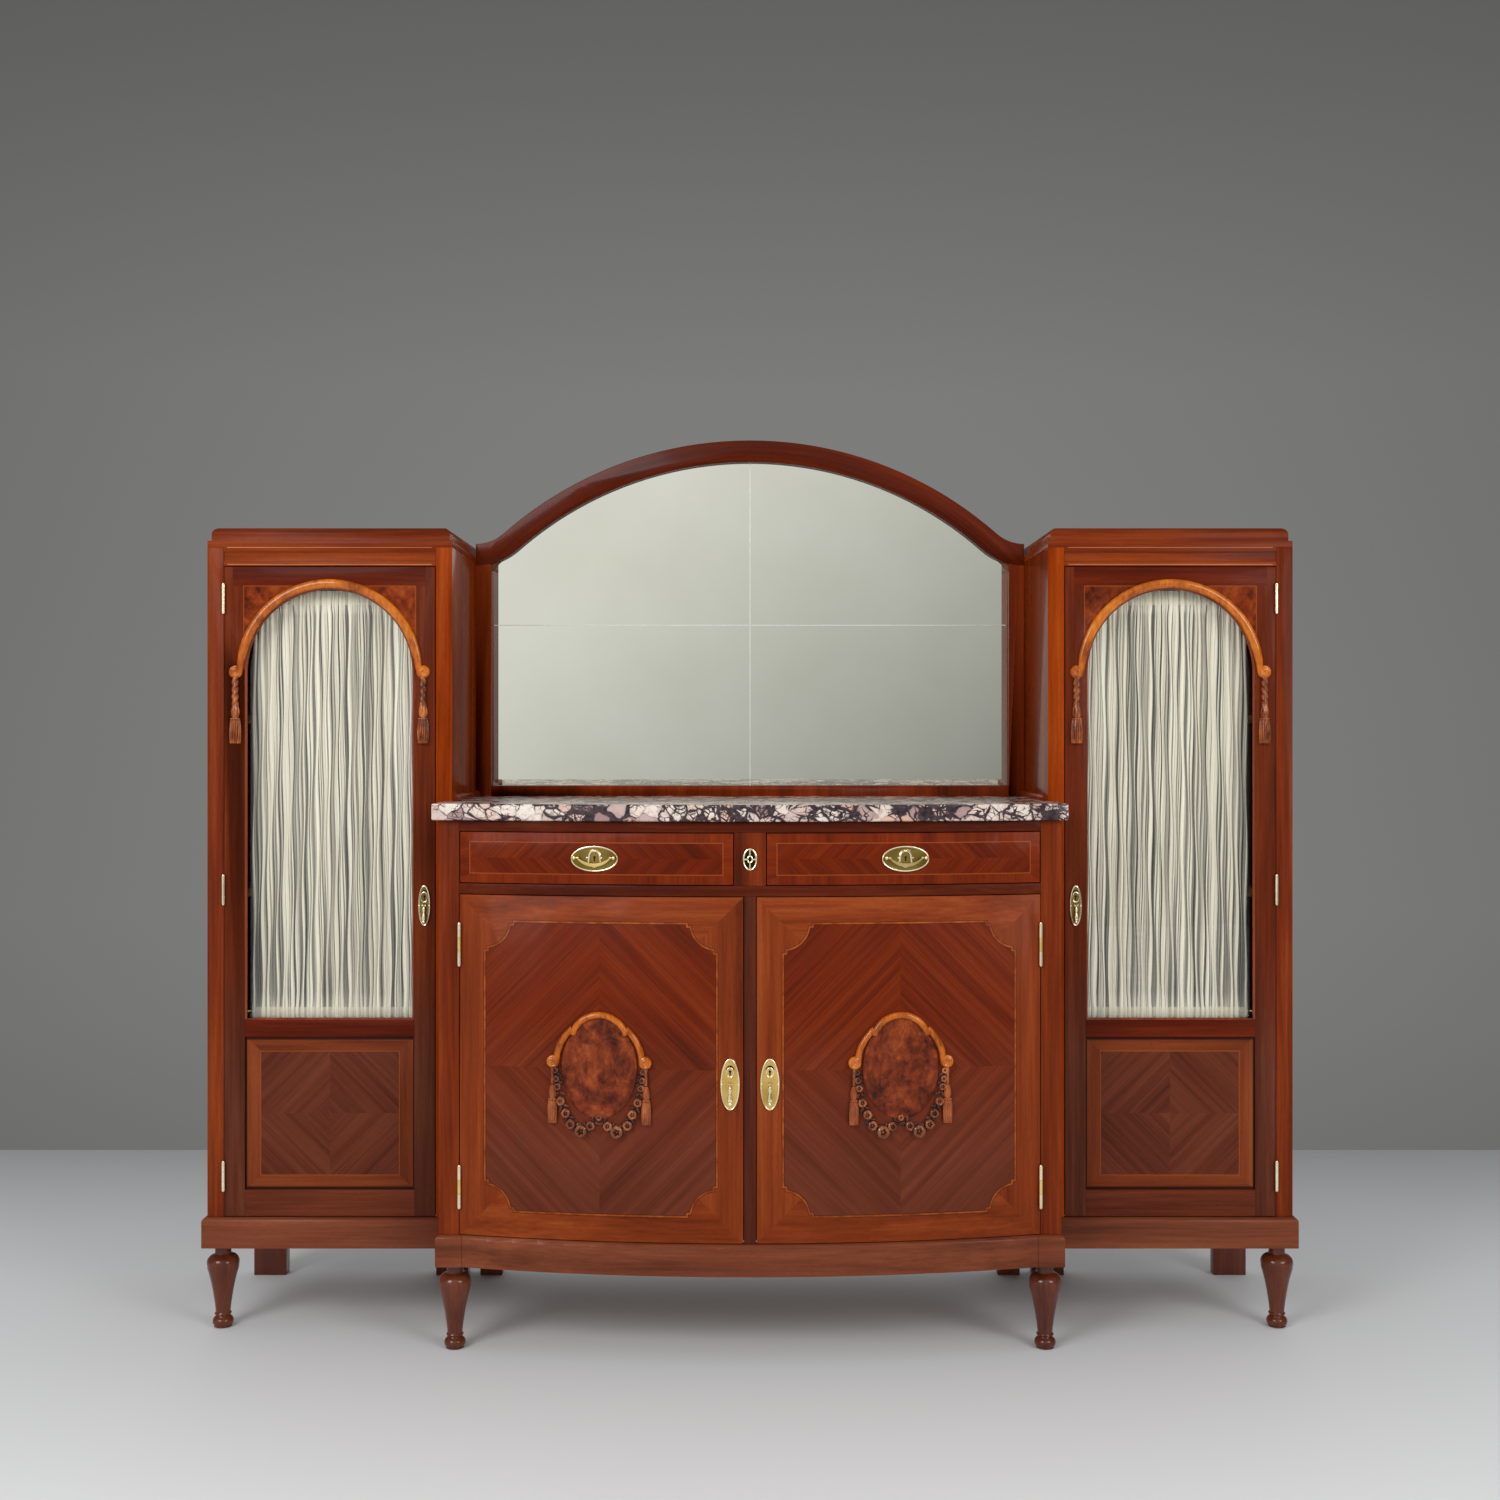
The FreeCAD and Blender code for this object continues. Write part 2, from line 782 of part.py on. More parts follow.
def drawer_handle_plate():
    """Oval handle plate with two posts for the bail and an arched ornament round a keyhole."""
    plate = moved(rimmed_oval(drawer_plate_half_width, drawer_plate_half_height), 0, 0, drawer_mid_z)
    pivot_y, pivot_z = bail_pivot()
    arch_z = drawer_mid_z + ornament_top
    parts = [bar_arc(0, -plate_thickness, arch_z, ornament_half_width, ornament_bar_radius, 0, 180)]
    for side in (-1, 1):
        parts.append(rod(Vector(side * bail_post_offset, 0, pivot_z), Vector(0, -1, 0),
                         bail_post_radius, plate_thickness + bail_post_length))
        arch_end = Vector(side * ornament_half_width, -plate_thickness, arch_z)
        parts.append(rod(arch_end, Vector(0, 0, -1), ornament_bar_radius,
                         ornament_top + ornament_foot))
    result = joined(plate, *parts).cut(keyhole(drawer_mid_z + ornament_top))
    for side in (-1, 1):
        start = Vector(side * (bail_post_offset - 2 * bail_post_radius), pivot_y, pivot_z)
        result = result.cut(rod(start, Vector(side, 0, 0), bail_pin_radius + pin_clearance,
                                bail_post_radius + bail_pin_depth + pin_clearance))
    return result


def drawer_bail():
    """Crescent bail with a boss and a pin at each end."""
    pivot_y, pivot_z = bail_pivot()
    half = bail_post_offset - bail_post_radius - bail_side_gap
    y0 = pivot_y - bail_thickness / 2
    boss_half = bail_boss_radius / 2
    top = Vector(half, y0, pivot_z + boss_half)
    inner_top = Vector(half - bail_boss_radius, y0, pivot_z + boss_half)
    crescent = outline(
        top,
        (Vector(0, y0, pivot_z - bail_drop), Vector(-half, y0, top.z)),
        (Vector(-inner_top.x, y0, top.z),),
        (Vector(0, y0, pivot_z - bail_drop + bail_depth), inner_top),
    ).extrude(Vector(0, bail_thickness, 0))
    parts = []
    for side in (-1, 1):
        end = Vector(side * half, pivot_y, pivot_z)
        parts.append(rod(end, Vector(-side, 0, 0), bail_boss_radius, 2 * bail_boss_radius))
        parts.append(rod(end, Vector(side, 0, 0), bail_pin_radius,
                         bail_side_gap + bail_pin_depth))
    return joined(crescent, *parts)


def centre_escutcheon():
    """Oval keyhole plate on the block between the drawers."""
    plate = rimmed_oval(escutcheon_half_width, escutcheon_half_height)
    plate = moved(plate, 0, 0, drawer_mid_z).cut(keyhole(drawer_mid_z))
    plate = moved(plate, 0, nose_y, 0)
    behind = bow_slab(-overrun, overrun, 0, overrun, drawer_rail_top, drawer_top)
    return plate.cut(behind)


# Lock bolts

def bolt(edge_x, face_y, middle_z, clearance):
    """A lock bolt inside a door, withdrawn behind the door's edge."""
    half = bolt_height / 2 + clearance
    y0 = face_y + bolt_inset - clearance
    return block(edge_x + bolt_clearance - clearance, edge_x + bolt_clearance + bolt_length + clearance,
                 y0, y0 + bolt_thickness + 2 * clearance, middle_z - half, middle_z + half)


def side_bolt(clearance=0.0):
    return bolt(door_x0, side_front_y, side_bolt_z(), clearance)


def centre_bolt(clearance=0.0):
    return bolt(centre_door_x0, nose_y, centre_bolt_z(), clearance)


# Glazed doors

def arched(half, spring, z0, y0, y1, x=None):
    """A slab with a round head, such as the glass or the hole for it."""
    middle = door_mid_x if x is None else x
    face = outline(
        Vector(middle - half, y0, z0),
        (Vector(middle + half, y0, z0),),
        (Vector(middle + half, y0, spring),),
        (Vector(middle, y0, spring + half), Vector(middle - half, y0, spring)),
    )
    return face.extrude(Vector(0, y1 - y0, 0))


def glass_pocket():
    """The rebate behind the door frame that takes the glass and its beads."""
    return arched(glass_half + glass_rebate, arch_spring, door_mid_rail_top - glass_rebate,
                  side_front_y + glass_recess, door_back_y)


def door_panel():
    """Lower panel, held in grooves all round."""
    y0 = side_front_y + door_panel_recess
    z0 = door_z0 + door_bottom_rail - door_panel_groove
    z1 = door_mid_rail_top - door_mid_rail + door_panel_groove
    half = glass_half + door_panel_groove
    return block(door_mid_x - half, door_mid_x + half, y0, y0 + door_panel_thickness, z0, z1)


def door_frame():
    """Two stiles, two rails and the arched head board, with the glazing bead."""
    y0, y1 = side_front_y, door_back_y
    left = door_mid_x - glass_half
    right = door_mid_x + glass_half
    mid_z0 = door_mid_rail_top - door_mid_rail
    members = [
        block(door_x0, left, y0, y1, door_z0, arch_spring),
        block(right, door_x1, y0, y1, door_z0, arch_spring),
        block(left, right, y0, y1, door_z0, door_z0 + door_bottom_rail),
        block(left, right, y0, y1, mid_z0, door_mid_rail_top),
        block(door_x0, door_x1, y0, y1, arch_spring, door_z1).cut(
            arched(glass_half, arch_spring, mid_z0, y0, y1)),
    ]
    cutters = [glass_pocket(), door_panel(), side_bolt(bolt_clearance)]
    cutters += [side_hinge(place).moving_leaf for place in side_hinge_places]
    members = [member.cut(group(*cutters)) for member in members]
    bead_y = side_front_y + glass_recess + glass_thickness
    bead = glass_pocket().common(block(door_x0, door_x1, bead_y, bead_y + glazing_bead,
                                       door_z0, door_z1))
    bead = bead.cut(arched(glass_half, arch_spring, door_mid_rail_top, y0, y1))
    return group(*members, bead)


def door_glass():
    y0 = side_front_y + glass_recess
    return glass_pocket().common(block(door_x0, door_x1, y0, y0 + glass_thickness,
                                       door_z0, door_z1))


def fold_wire(z, depth):
    """The closed section of the gathered curtain at one height."""
    bays = 2 * curtain_folds
    bay = 2 * curtain_half_width / bays
    start = door_mid_x - curtain_half_width
    edges = []
    half = curtain_cloth / 2

    def point(x, y):
        return Vector(x, curtain_y + y, z)

    for face, order in ((-half, range(bays)), (half, range(bays - 1, -1, -1))):
        for i in order:
            crest = face + (depth if i % 2 else -depth)
            ends = [point(start + i * bay, face), point(start + (i + 1) * bay, face)]
            if face > 0:
                ends.reverse()
            middle = point(start + (i + 0.5) * bay, crest)
            edges.append(Part.Arc(ends[0], middle, ends[1]).toShape())
        side = 1 if face < 0 else -1
        x = door_mid_x + side * curtain_half_width
        edges.append(Part.LineSegment(point(x, face), point(x, -face)).toShape())
    return Part.Wire(edges)


def curtain():
    """Gathered curtain on two rods, with its main folds and gathered hems."""
    slack = curtain_upper_rod - curtain_lower_rod
    levels = (
        (curtain_hem, curtain_slack_depth),
        (curtain_lower_rod, curtain_rod_depth),
        (curtain_lower_rod + slack / 6, curtain_slack_depth),
        (curtain_upper_rod - slack / 6, curtain_slack_depth),
        (curtain_upper_rod, curtain_rod_depth),
        (curtain_header, curtain_slack_depth),
    )
    cloth = Part.makeLoft([fold_wire(z, depth) for z, depth in levels], True, True)
    return cloth.cut(group(*curtain_rods()))


def curtain_rods():
    reach = curtain_half_width + curtain_rod_reach
    start_x = door_mid_x - reach
    return [rod(Vector(start_x, curtain_y, z), Vector(1, 0, 0), curtain_rod_radius, 2 * reach)
            for z in (curtain_lower_rod, curtain_upper_rod)]


def curtain_rod_set():
    """Thin brass rods in small brackets on the back of the door."""
    reach = curtain_half_width + curtain_rod_reach
    half = curtain_bracket / 2
    sets = []
    for bar, z in zip(curtain_rods(), (curtain_lower_rod, curtain_upper_rod)):
        brackets = [block(x - half, x + half, door_back_y, curtain_y + curtain_rod_radius,
                          z - half, z + half)
                    for x in (door_mid_x - reach, door_mid_x + reach)]
        sets.append(joined(bar, *brackets))
    return sets


def door_brass():
    """Lock plate, hinge leaves and curtain rods of the right glazed door."""
    leaves = [side_hinge(place).moving() for place in side_hinge_places]
    return group(on_side_door(side_pull().plate().cut(behind_flat_front())), *leaves,
                 *curtain_rod_set())


def behind_flat_front():
    """Everything behind a flat front at the origin."""
    reach = side_cabinet_height
    return block(-reach, reach, 0, overrun, -overrun, reach)


def tassel(bell_radius, bell_length, skirt_radius, skirt_length):
    """Bell, bead and flared skirt of one carved tassel, hanging from the origin."""
    flare, waist, bead, neck = [-bell_length * share for share in tassel_step_shares]
    skirt_z = -bell_length - skirt_length
    return turned(
        Vector(0, 0, 0),
        (Vector(bell_radius * tassel_shoulder_share, 0, 0),),
        (Vector(bell_radius, 0, flare),),
        (Vector(bell_radius * tassel_waist_share, 0, waist),),
        (Vector(bell_radius * tassel_bead_share, 0, bead),),
        (Vector(bell_radius * tassel_neck_share, 0, neck),),
        (Vector(skirt_radius, 0, skirt_z),),
        (Vector(0, 0, skirt_z),),
    )


def arch_carving():
    """Half-round arch over the glass with a volute, rope and tassel at each foot."""
    radius = glass_half + moulding_width / 2
    parts = [bar_arc(0, 0, arch_spring, radius, moulding_width / 2, 0, 180)]
    for side in (-1, 1):
        x = side * (radius + volute_reach)
        rope_z = arch_spring - volute_radius - rope_length
        parts.append(boss(x, arch_spring, volute_radius, volute_depth))
        parts.append(rod(Vector(x, 0, arch_spring), Vector(0, 0, -1), rope_radius,
                         arch_spring - rope_z))
        drop = tassel(tassel_bell_radius, tassel_bell_length, tassel_skirt_radius,
                      tassel_skirt_length)
        parts.append(moved(drop, x, 0, rope_z))
    carving = joined(*parts).cut(behind_flat_front())
    return moved(carving, door_mid_x, side_front_y, 0)


# Centre cupboard

def cupboard_side():
    """Side of the centre cupboard: thicker where it stands clear of the side cabinet."""
    rear = block(centre_side_x, inner_x, side_front_y, back_y, carcass_z, marble_z)
    front = block(centre_side_x, centre_corner_half, centre_front_y, side_front_y,
                  carcass_z, marble_z)
    stile = block(opening_half, centre_corner_half, centre_front_y,
                  centre_front_y + face_thickness, carcass_z, marble_z)
    result = joined(rear, front, stile)
    for place in centre_hinge_places:
        result = result.cut(centre_hinge(place).fixed_leaf)
    return result


def centre_floor():
    return bow_board(face_thickness + behind_door_gap, panel_y, carcass_z, carcass_z + floor_board)


def centre_shelf():
    return bow_board(centre_shelf_setback, panel_y, centre_shelf_top - shelf_board, centre_shelf_top)


def drawer_board():
    return bow_board(0, panel_y, drawer_rail_z, drawer_rail_top)


def top_board():
    return bow_board(0, back_y, drawer_top, marble_z)


def centre_back():
    return block(-centre_side_x, centre_side_x, panel_y, back_y, carcass_z, drawer_top)


def door_post():
    """Slim post between the two cupboard doors, with a strike mortise on each side."""
    post = bow_slab(-post_half, post_half, 0, face_thickness + behind_door_gap,
                    carcass_z, drawer_rail_z)
    depth = bolt_throw - door_gap - bolt_clearance + strike_slack
    half = bolt_height / 2 + strike_slack
    strike = block(post_half - depth, post_half, nose_y + bolt_inset - strike_slack,
                   nose_y + bolt_inset + bolt_thickness + strike_slack,
                   centre_bolt_z() - half, centre_bolt_z() + half)
    return post.cut(pair(strike))


def drawer_divider():
    """Front block between the drawers with a thinner board behind it."""
    front = bow_slab(-divider_half, divider_half, 0, divider_depth, drawer_rail_top, drawer_top)
    half = divider_board / 2
    board = block(-half, half, nose_y + divider_depth / 2, panel_y, drawer_rail_top, drawer_top)
    return joined(front, board)


def drawer_guides():
    """Strips beside the drawers that keep them straight."""
    y1 = panel_y - guide_end_gap
    z1 = drawer_rail_top + drawer_guide_height
    inner_start = bow_y(divider_half, divider_depth)
    outer_start = centre_front_y + face_thickness
    inner = block(divider_board / 2, drawer_box_x0() - sliding_gap, inner_start, y1,
                  drawer_rail_top, z1)
    outer = block(drawer_box_x1() + sliding_gap, centre_side_x, outer_start, y1,
                  drawer_rail_top, z1)
    return group(pair(inner), pair(outer))


def centre_plinth():
    """Bowed plinth with flat corner blocks over the turned legs."""
    x1 = centre_corner_half + centre_plinth_reach
    block_x = x1 - centre_plinth_block_width
    block_y = centre_front_y - centre_plinth_block_reach
    joint_y = side_front_y - plinth_reach
    front = bow_slab(-block_x, block_x, -centre_plinth_reach, plinth_board - centre_plinth_reach,
                     floor_clearance, carcass_z)
    front = rounded(front, plinth_edge_round,
                    lambda c: near(c.z, carcass_z) and c.y < bow_y(0, 0) + bow_rise / 2)
    corner = block(block_x, x1, block_y, block_y + leg_block, floor_clearance, carcass_z)
    outer = block(x1 - plinth_board, x1, block_y + leg_block, joint_y, floor_clearance, carcass_z)
    side = joined(corner, outer)
    side = rounded(side, plinth_edge_round,
                   lambda c: near(c.z, carcass_z) and (near(c.x, x1) or near(c.y, block_y)))
    rear = block(inner_x - plinth_board, inner_x, block_y + leg_block, back_y,
                 floor_clearance, carcass_z)
    half = joined(side, rear)
    back = block(plinth_board - inner_x, inner_x - plinth_board, back_y - plinth_board, back_y,
                 floor_clearance, carcass_z)
    return joined(front, back, half, mirrored(half))


def marble_top():
    """Marble slab: bowed in front, narrower between the side cabinets."""
    wide = centre_corner_half + marble_end_overhang
    front_y = bow_y(opening_half, -marble_overhang)
    z = marble_z
    face = outline(
        Vector(wide, side_front_y, z),
        (Vector(wide, front_y, z),),
        (Vector(opening_half, front_y, z),),
        (Vector(0, bow_y(0, -marble_overhang), z), Vector(-opening_half, front_y, z)),
        (Vector(-wide, front_y, z),),
        (Vector(-wide, side_front_y, z),),
        (Vector(-inner_x, side_front_y, z),),
        (Vector(-inner_x, back_y, z),),
        (Vector(inner_x, back_y, z),),
        (Vector(inner_x, side_front_y, z),),
    )
    slab = face.extrude(Vector(0, 0, marble_thickness))
    return rounded(slab, marble_round,
                   lambda c: c.y < side_front_y - marble_round
                   and (near(c.z, marble_height) or near(c.z, marble_z)))


def cupboard_door():
    """Bowed door with mortises for its hinge leaves and its lock bolt."""
    slab = bow_slab(centre_door_x0, centre_door_x1, 0, face_thickness, centre_door_z0, centre_door_z1)
    for place in centre_hinge_places:
        slab = slab.cut(centre_hinge(place).moving())
    return slab.cut(centre_bolt(bolt_clearance))


def cupboard_door_brass():
    """Lock plate and hinge leaves of the right cupboard door."""
    plate = seated_on_bow(centre_pull().plate(), centre_plate_offset)
    return group(plate, *[centre_hinge(place).moving() for place in centre_hinge_places])


def shoulder_arc(side, top_z):
    """The side sweep of the medallion's moulding, from the crest down to the volute."""
    top = Vector(side * crest_half_width, 0, top_z)
    foot = Vector(side * shoulder_half_width, 0, shoulder_foot)
    chord = foot - top
    outwards = Vector(side * -chord.z, 0, side * chord.x)
    outwards.normalize()
    middle = (top + foot) * 0.5 + outwards * shoulder_bulge
    path = Part.Wire([Part.Arc(top, middle, foot).toShape()])
    tangent = path.Edges[0].tangentAt(path.Edges[0].FirstParameter)
    ring = Part.Wire([Part.Circle(top, tangent, crest_bar_radius).toShape()])
    return path.makePipeShell([ring], True, True)


def medallion_crest():
    """The stepped arch over the plaque: a middle arc and a lower sweep on each side."""
    turn = math.asin(crest_half_width / crest_radius)
    centre_z = crest_top - crest_radius
    end_z = centre_z + crest_radius * math.cos(turn)
    half_angle = math.degrees(turn)
    parts = [bar_arc(0, 0, centre_z, crest_radius, crest_bar_radius,
                     90 - half_angle, 90 + half_angle)]
    for side in (-1, 1):
        parts.append(moved(Part.makeSphere(crest_bar_radius), side * crest_half_width, 0, end_z))
        parts.append(shoulder_arc(side, end_z))
        parts.append(boss(side * medallion_volute_half_span, medallion_volute_height,
                          volute_radius, volute_depth))
    return parts


def medallion_tassels():
    """A tassel on a short rope under each volute."""
    drop = tassel(medallion_tassel_radius, medallion_tassel_bell, medallion_tassel_radius,
                  medallion_tassel_skirt)
    parts = []
    for side in (-1, 1):
        x = side * medallion_tassel_half_span
        parts.append(rod(Vector(x, 0, medallion_volute_height), Vector(0, 0, -1),
                         medallion_rope_radius, medallion_volute_height - medallion_tassel_top))
        parts.append(moved(drop, x, 0, medallion_tassel_top))
    return parts


def medallion_garland():
    """Roses on two hanging swags that meet under the middle of the plaque."""
    parts = []
    for side in (-1, 1):
        last = None
        for x_share, z_share, size_share in garland_shares:
            x = side * garland_half_width * x_share
            here = Vector(x, 0, -garland_drop * z_share)
            parts.append(boss(x, here.z, rose_radius * size_share, rose_depth))
            if last is not None:
                parts.append(rod(last, here - last, garland_bar_radius, (here - last).Length))
            last = here
    return parts


def medallion():
    """The burr plaque and the carved trim round it, against a flat front."""
    stock = face_thickness / 2
    plaque = moved(oval(plaque_half_width, plaque_half_height, plaque_thickness + stock), 0, stock, 0)
    trim = joined(*medallion_crest(), *medallion_tassels(), *medallion_garland()).cut(plaque)
    return [moved(piece, 0, 0, medallion_height) for piece in (plaque, trim)]


def door_carving():
    return group(*[seated_on_bow(part, medallion_x) for part in medallion()])


# Drawers

def drawer_box_x0():
    return drawer_x0 + door_gap / 3


def drawer_box_x1():
    return drawer_x1 - door_gap / 3


def drawer_front_piece():
    return bow_slab(drawer_x0, drawer_x1, 0, drawer_front,
                    drawer_rail_top + door_gap, drawer_top - door_gap)


def drawer_box():
    """Two sides, a back and a bottom behind the bowed front."""
    x0, x1 = drawer_box_x0(), drawer_box_x1()
    y1 = nose_y + drawer_front + drawer_depth
    z0 = drawer_rail_top + sliding_gap
    z1 = z0 + drawer_side_height
    bottom_z = z0 + drawer_bottom_rise
    bottom_top = bottom_z + drawer_bottom
    boards = [
        block(x0, x0 + drawer_side, nose_y, y1, z0, z1),
        block(x1 - drawer_side, x1, nose_y, y1, z0, z1),
        block(x0 + drawer_side, x1 - drawer_side, y1 - drawer_side, y1, bottom_top, z1),
        block(x0 + drawer_side, x1 - drawer_side, nose_y, y1, bottom_z, bottom_top),
    ]
    front = bow_slab(0, opening_half, -bow_rise - overrun, drawer_front, drawer_rail_z, drawer_top)
    return group(*[board.cut(front) for board in boards])


# Mirror

def curve_steps(width, sign):
    """Arch curve at a depth into the moulding, from one foot over the top to the other."""
    radius = arch_radius - width
    foot_radius = arch_foot_radius + width
    lean = Vector(math.sin(foot_turn), 0, math.cos(foot_turn))
    half_lean = Vector(math.sin(foot_turn / 2), 0, math.cos(foot_turn / 2))

    def at(x, z):
        return Vector(sign * x, 0, z)

    join = (radius * lean.x, arch_centre_z + radius * lean.z)
    mid_foot = (inner_x - foot_radius * half_lean.x, foot_centre_z - foot_radius * half_lean.z)
    end = (inner_x, foot_centre_z - foot_radius)
    return at(*end), [
        (at(*mid_foot), at(*join)),
        (Vector(0, 0, arch_centre_z + radius), at(-join[0], join[1])),
        (at(-mid_foot[0], mid_foot[1]), at(-end[0], end[1])),
    ]


def arch_band(width, y0, y1):
    """The arched moulding's band between its outer curve and a width inside it."""
    start, outer = curve_steps(0, 1)
    inner_start, inner = curve_steps(width, -1)
    face = outline(start, *outer, (inner_start,), *inner)
    return moved(face.extrude(Vector(0, y1 - y0, 0)), 0, y0, 0)


def under_arch(width, y0, y1):
    """Everything below the arch curve at a width, down to the marble."""
    start, curve = curve_steps(width, 1)
    face = outline(start, *curve, (Vector(-inner_x, 0, marble_height),),
                   (Vector(inner_x, 0, marble_height),))
    return moved(face.extrude(Vector(0, y1 - y0, 0)), 0, y0, 0)


def lip_y():
    return mirror_y + mirror_lip


def mirror_arch():
    """Arched moulding with a rebate behind its lip."""
    return joined(arch_band(arch_width, mirror_y, lip_y()),
                  arch_band(arch_width - mirror_rebate, lip_y(), mirror_back_y))


def mirror_frame():
    """Two stiles and the bottom rail round the mirror, with the strips at the niche walls."""
    top = arch_top
    stile = joined(
        block(mirror_glass_half, inner_x, mirror_y, lip_y(), marble_height, top).common(
            under_arch(arch_width, mirror_y, lip_y())),
        block(mirror_glass_half + mirror_rebate, inner_x, lip_y(), mirror_back_y,
              marble_height, top).common(
            under_arch(arch_width - mirror_rebate, lip_y(), mirror_back_y)))
    rail_z = marble_height + mirror_bottom_rail
    rail = block(-mirror_glass_half, mirror_glass_half, mirror_y, mirror_back_y,
                 marble_height, rail_z)
    rail = rail.cut(block(-mirror_glass_half, mirror_glass_half, lip_y(), mirror_back_y,
                          rail_z - mirror_rebate, rail_z))
    shoe = block(inner_x - shoe_width, inner_x, side_front_y, mirror_y, marble_height,
                 marble_height + shoe_height)
    shoe = rounded(shoe, shoe_round,
                   lambda c: near(c.z, marble_height + shoe_height)
                   and near(c.x, inner_x - shoe_width))
    return group(pair(stile), rail, pair(shoe))


def mirror_fill(y0, y1):
    """What fills the rebate all round between two depths."""
    half = mirror_glass_half + mirror_rebate
    z0 = marble_height + mirror_bottom_rail - mirror_rebate
    return under_arch(arch_width - mirror_rebate, y0, y1).common(
        block(-half, half, y0, y1, z0, arch_top))


def mirror_panes():
    """Four panes that meet at a cross joint."""
    y0, y1 = lip_y(), lip_y() + mirror_glass
    whole = mirror_fill(y0, y1)
    gap = mirror_joint_gap / 2
    spans_z = ((marble_height, mirror_joint - gap), (mirror_joint + gap, arch_top))
    panes = [whole.common(block(gap, inner_x, y0, y1, z0, z1)) for z0, z1 in spans_z]
    return pair(group(*panes))


def mirror_back():
    """Back board in the rebate and two upright battens behind it."""
    board = mirror_fill(lip_y() + mirror_glass, mirror_back_y)
    batten = block(batten_offset, batten_offset + batten_width, mirror_back_y,
                   mirror_back_y + batten_thickness, marble_height, marble_height + batten_height)
    return group(board, pair(batten))


# Nodes

def fixed_nodes():
    return {
        "side_cabinet_outer_sides": pair(outer_side()),
        "side_cabinet_inner_sides": pair(inner_side()),
        "side_cabinet_cornices": pair(cornice()),
        "side_cabinet_floors": pair(side_floor()),
        "side_cabinet_shelves": pair(group(*side_shelves())),
        "side_cabinet_plinths": pair(side_plinth()),
        "back_panels": group(pair(side_back()), centre_back()),
        "cupboard_sides": pair(cupboard_side()),
        "cupboard_floor": centre_floor(),
        "cupboard_shelf": centre_shelf(),
        "cupboard_plinth": centre_plinth(),
        "cupboard_top_board": top_board(),
        "door_post": door_post(),
        "drawer_board": drawer_board(),
        "drawer_divider": drawer_divider(),
        "drawer_guides": drawer_guides(),
        "marble_top": marble_top(),
        "mirror_frame": mirror_frame(),
        "mirror_arch": mirror_arch(),
        "mirror_panes": mirror_panes(),
        "mirror_back": mirror_back(),
        "front_legs": front_legs(),
        "back_feet": back_feet(),
        "side_cabinet_hinges": fixed_hinges(side_hinge, side_hinge_places),
        "cupboard_hinges": fixed_hinges(centre_hinge, centre_hinge_places),
        "centre_escutcheon": centre_escutcheon(),
    }


def moving_nodes():
    """The pieces of the right-hand doors and drawer; the left-hand ones are their twins."""
    drawer_plate = drawer_handle_plate()
    return {
        "glazed_door_frame": door_frame(),
        "glazed_door_glass": door_glass(),
        "glazed_door_panel": door_panel(),
        "glazed_door_curtain": curtain(),
        "glazed_door_carving": arch_carving(),
        "glazed_door_brass": door_brass(),
        "glazed_door_pull": on_side_door(side_pull().drop()),
        "glazed_door_bolt": side_bolt(),
        "cupboard_door_panel": cupboard_door(),
        "cupboard_door_carving": door_carving(),
        "cupboard_door_brass": cupboard_door_brass(),
        "cupboard_door_pull": on_bow(centre_pull().drop(), centre_plate_offset),
        "cupboard_door_bolt": centre_bolt(),
        "drawer_front": drawer_front_piece(),
        "drawer_box": drawer_box(),
        "drawer_handle_plate": seated_on_bow(drawer_plate, drawer_mid_x),
        "drawer_bail": on_bow(drawer_bail(), drawer_mid_x),
    }


def main():
    os.makedirs("parts", exist_ok=True)
    nodes = fixed_nodes()
    for name, shape in moving_nodes().items():
        nodes["right_" + name] = shape
        nodes["left_" + name] = mirrored(shape)
    for name, shape in nodes.items():
        whole = group(shape)
        whole.exportStep(os.path.join("parts", name + ".step"))
        box = whole.BoundBox
        print(f"{name}: {len(whole.Solids)} solids, valid {whole.isValid()}, "
              f"x {box.XMin:.1f} {box.XMax:.1f} y {box.YMin:.1f} {box.YMax:.1f} "
              f"z {box.ZMin:.1f} {box.ZMax:.1f}, volume {whole.Volume / 1e3:.1f} cm3")


main()
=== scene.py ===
import json
import logging
import math
from dataclasses import dataclass, field
from enum import Enum
from typing import Optional, Union

import bmesh
import bpy
import numpy as np
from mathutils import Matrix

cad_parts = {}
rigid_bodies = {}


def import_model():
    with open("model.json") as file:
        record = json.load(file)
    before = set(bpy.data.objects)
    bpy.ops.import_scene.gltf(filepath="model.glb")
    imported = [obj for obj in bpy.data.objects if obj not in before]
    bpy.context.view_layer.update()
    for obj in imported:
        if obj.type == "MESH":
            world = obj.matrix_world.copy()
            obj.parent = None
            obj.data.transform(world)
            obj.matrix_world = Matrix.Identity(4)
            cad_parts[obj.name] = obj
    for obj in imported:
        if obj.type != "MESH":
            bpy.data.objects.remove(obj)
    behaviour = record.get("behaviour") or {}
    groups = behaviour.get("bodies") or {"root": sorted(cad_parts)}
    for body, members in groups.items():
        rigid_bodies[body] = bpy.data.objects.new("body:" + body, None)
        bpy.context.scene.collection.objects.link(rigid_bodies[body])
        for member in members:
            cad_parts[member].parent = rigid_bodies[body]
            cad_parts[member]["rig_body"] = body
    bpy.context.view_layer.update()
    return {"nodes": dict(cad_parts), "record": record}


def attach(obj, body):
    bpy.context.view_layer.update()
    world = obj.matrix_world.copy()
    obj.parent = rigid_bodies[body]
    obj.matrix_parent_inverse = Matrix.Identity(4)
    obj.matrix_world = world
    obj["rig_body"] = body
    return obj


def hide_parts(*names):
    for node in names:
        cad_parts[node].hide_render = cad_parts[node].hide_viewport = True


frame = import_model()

LOG = logging.getLogger("cabinet")
TURN = 2 * math.pi

Colour = tuple[float, float, float, float]


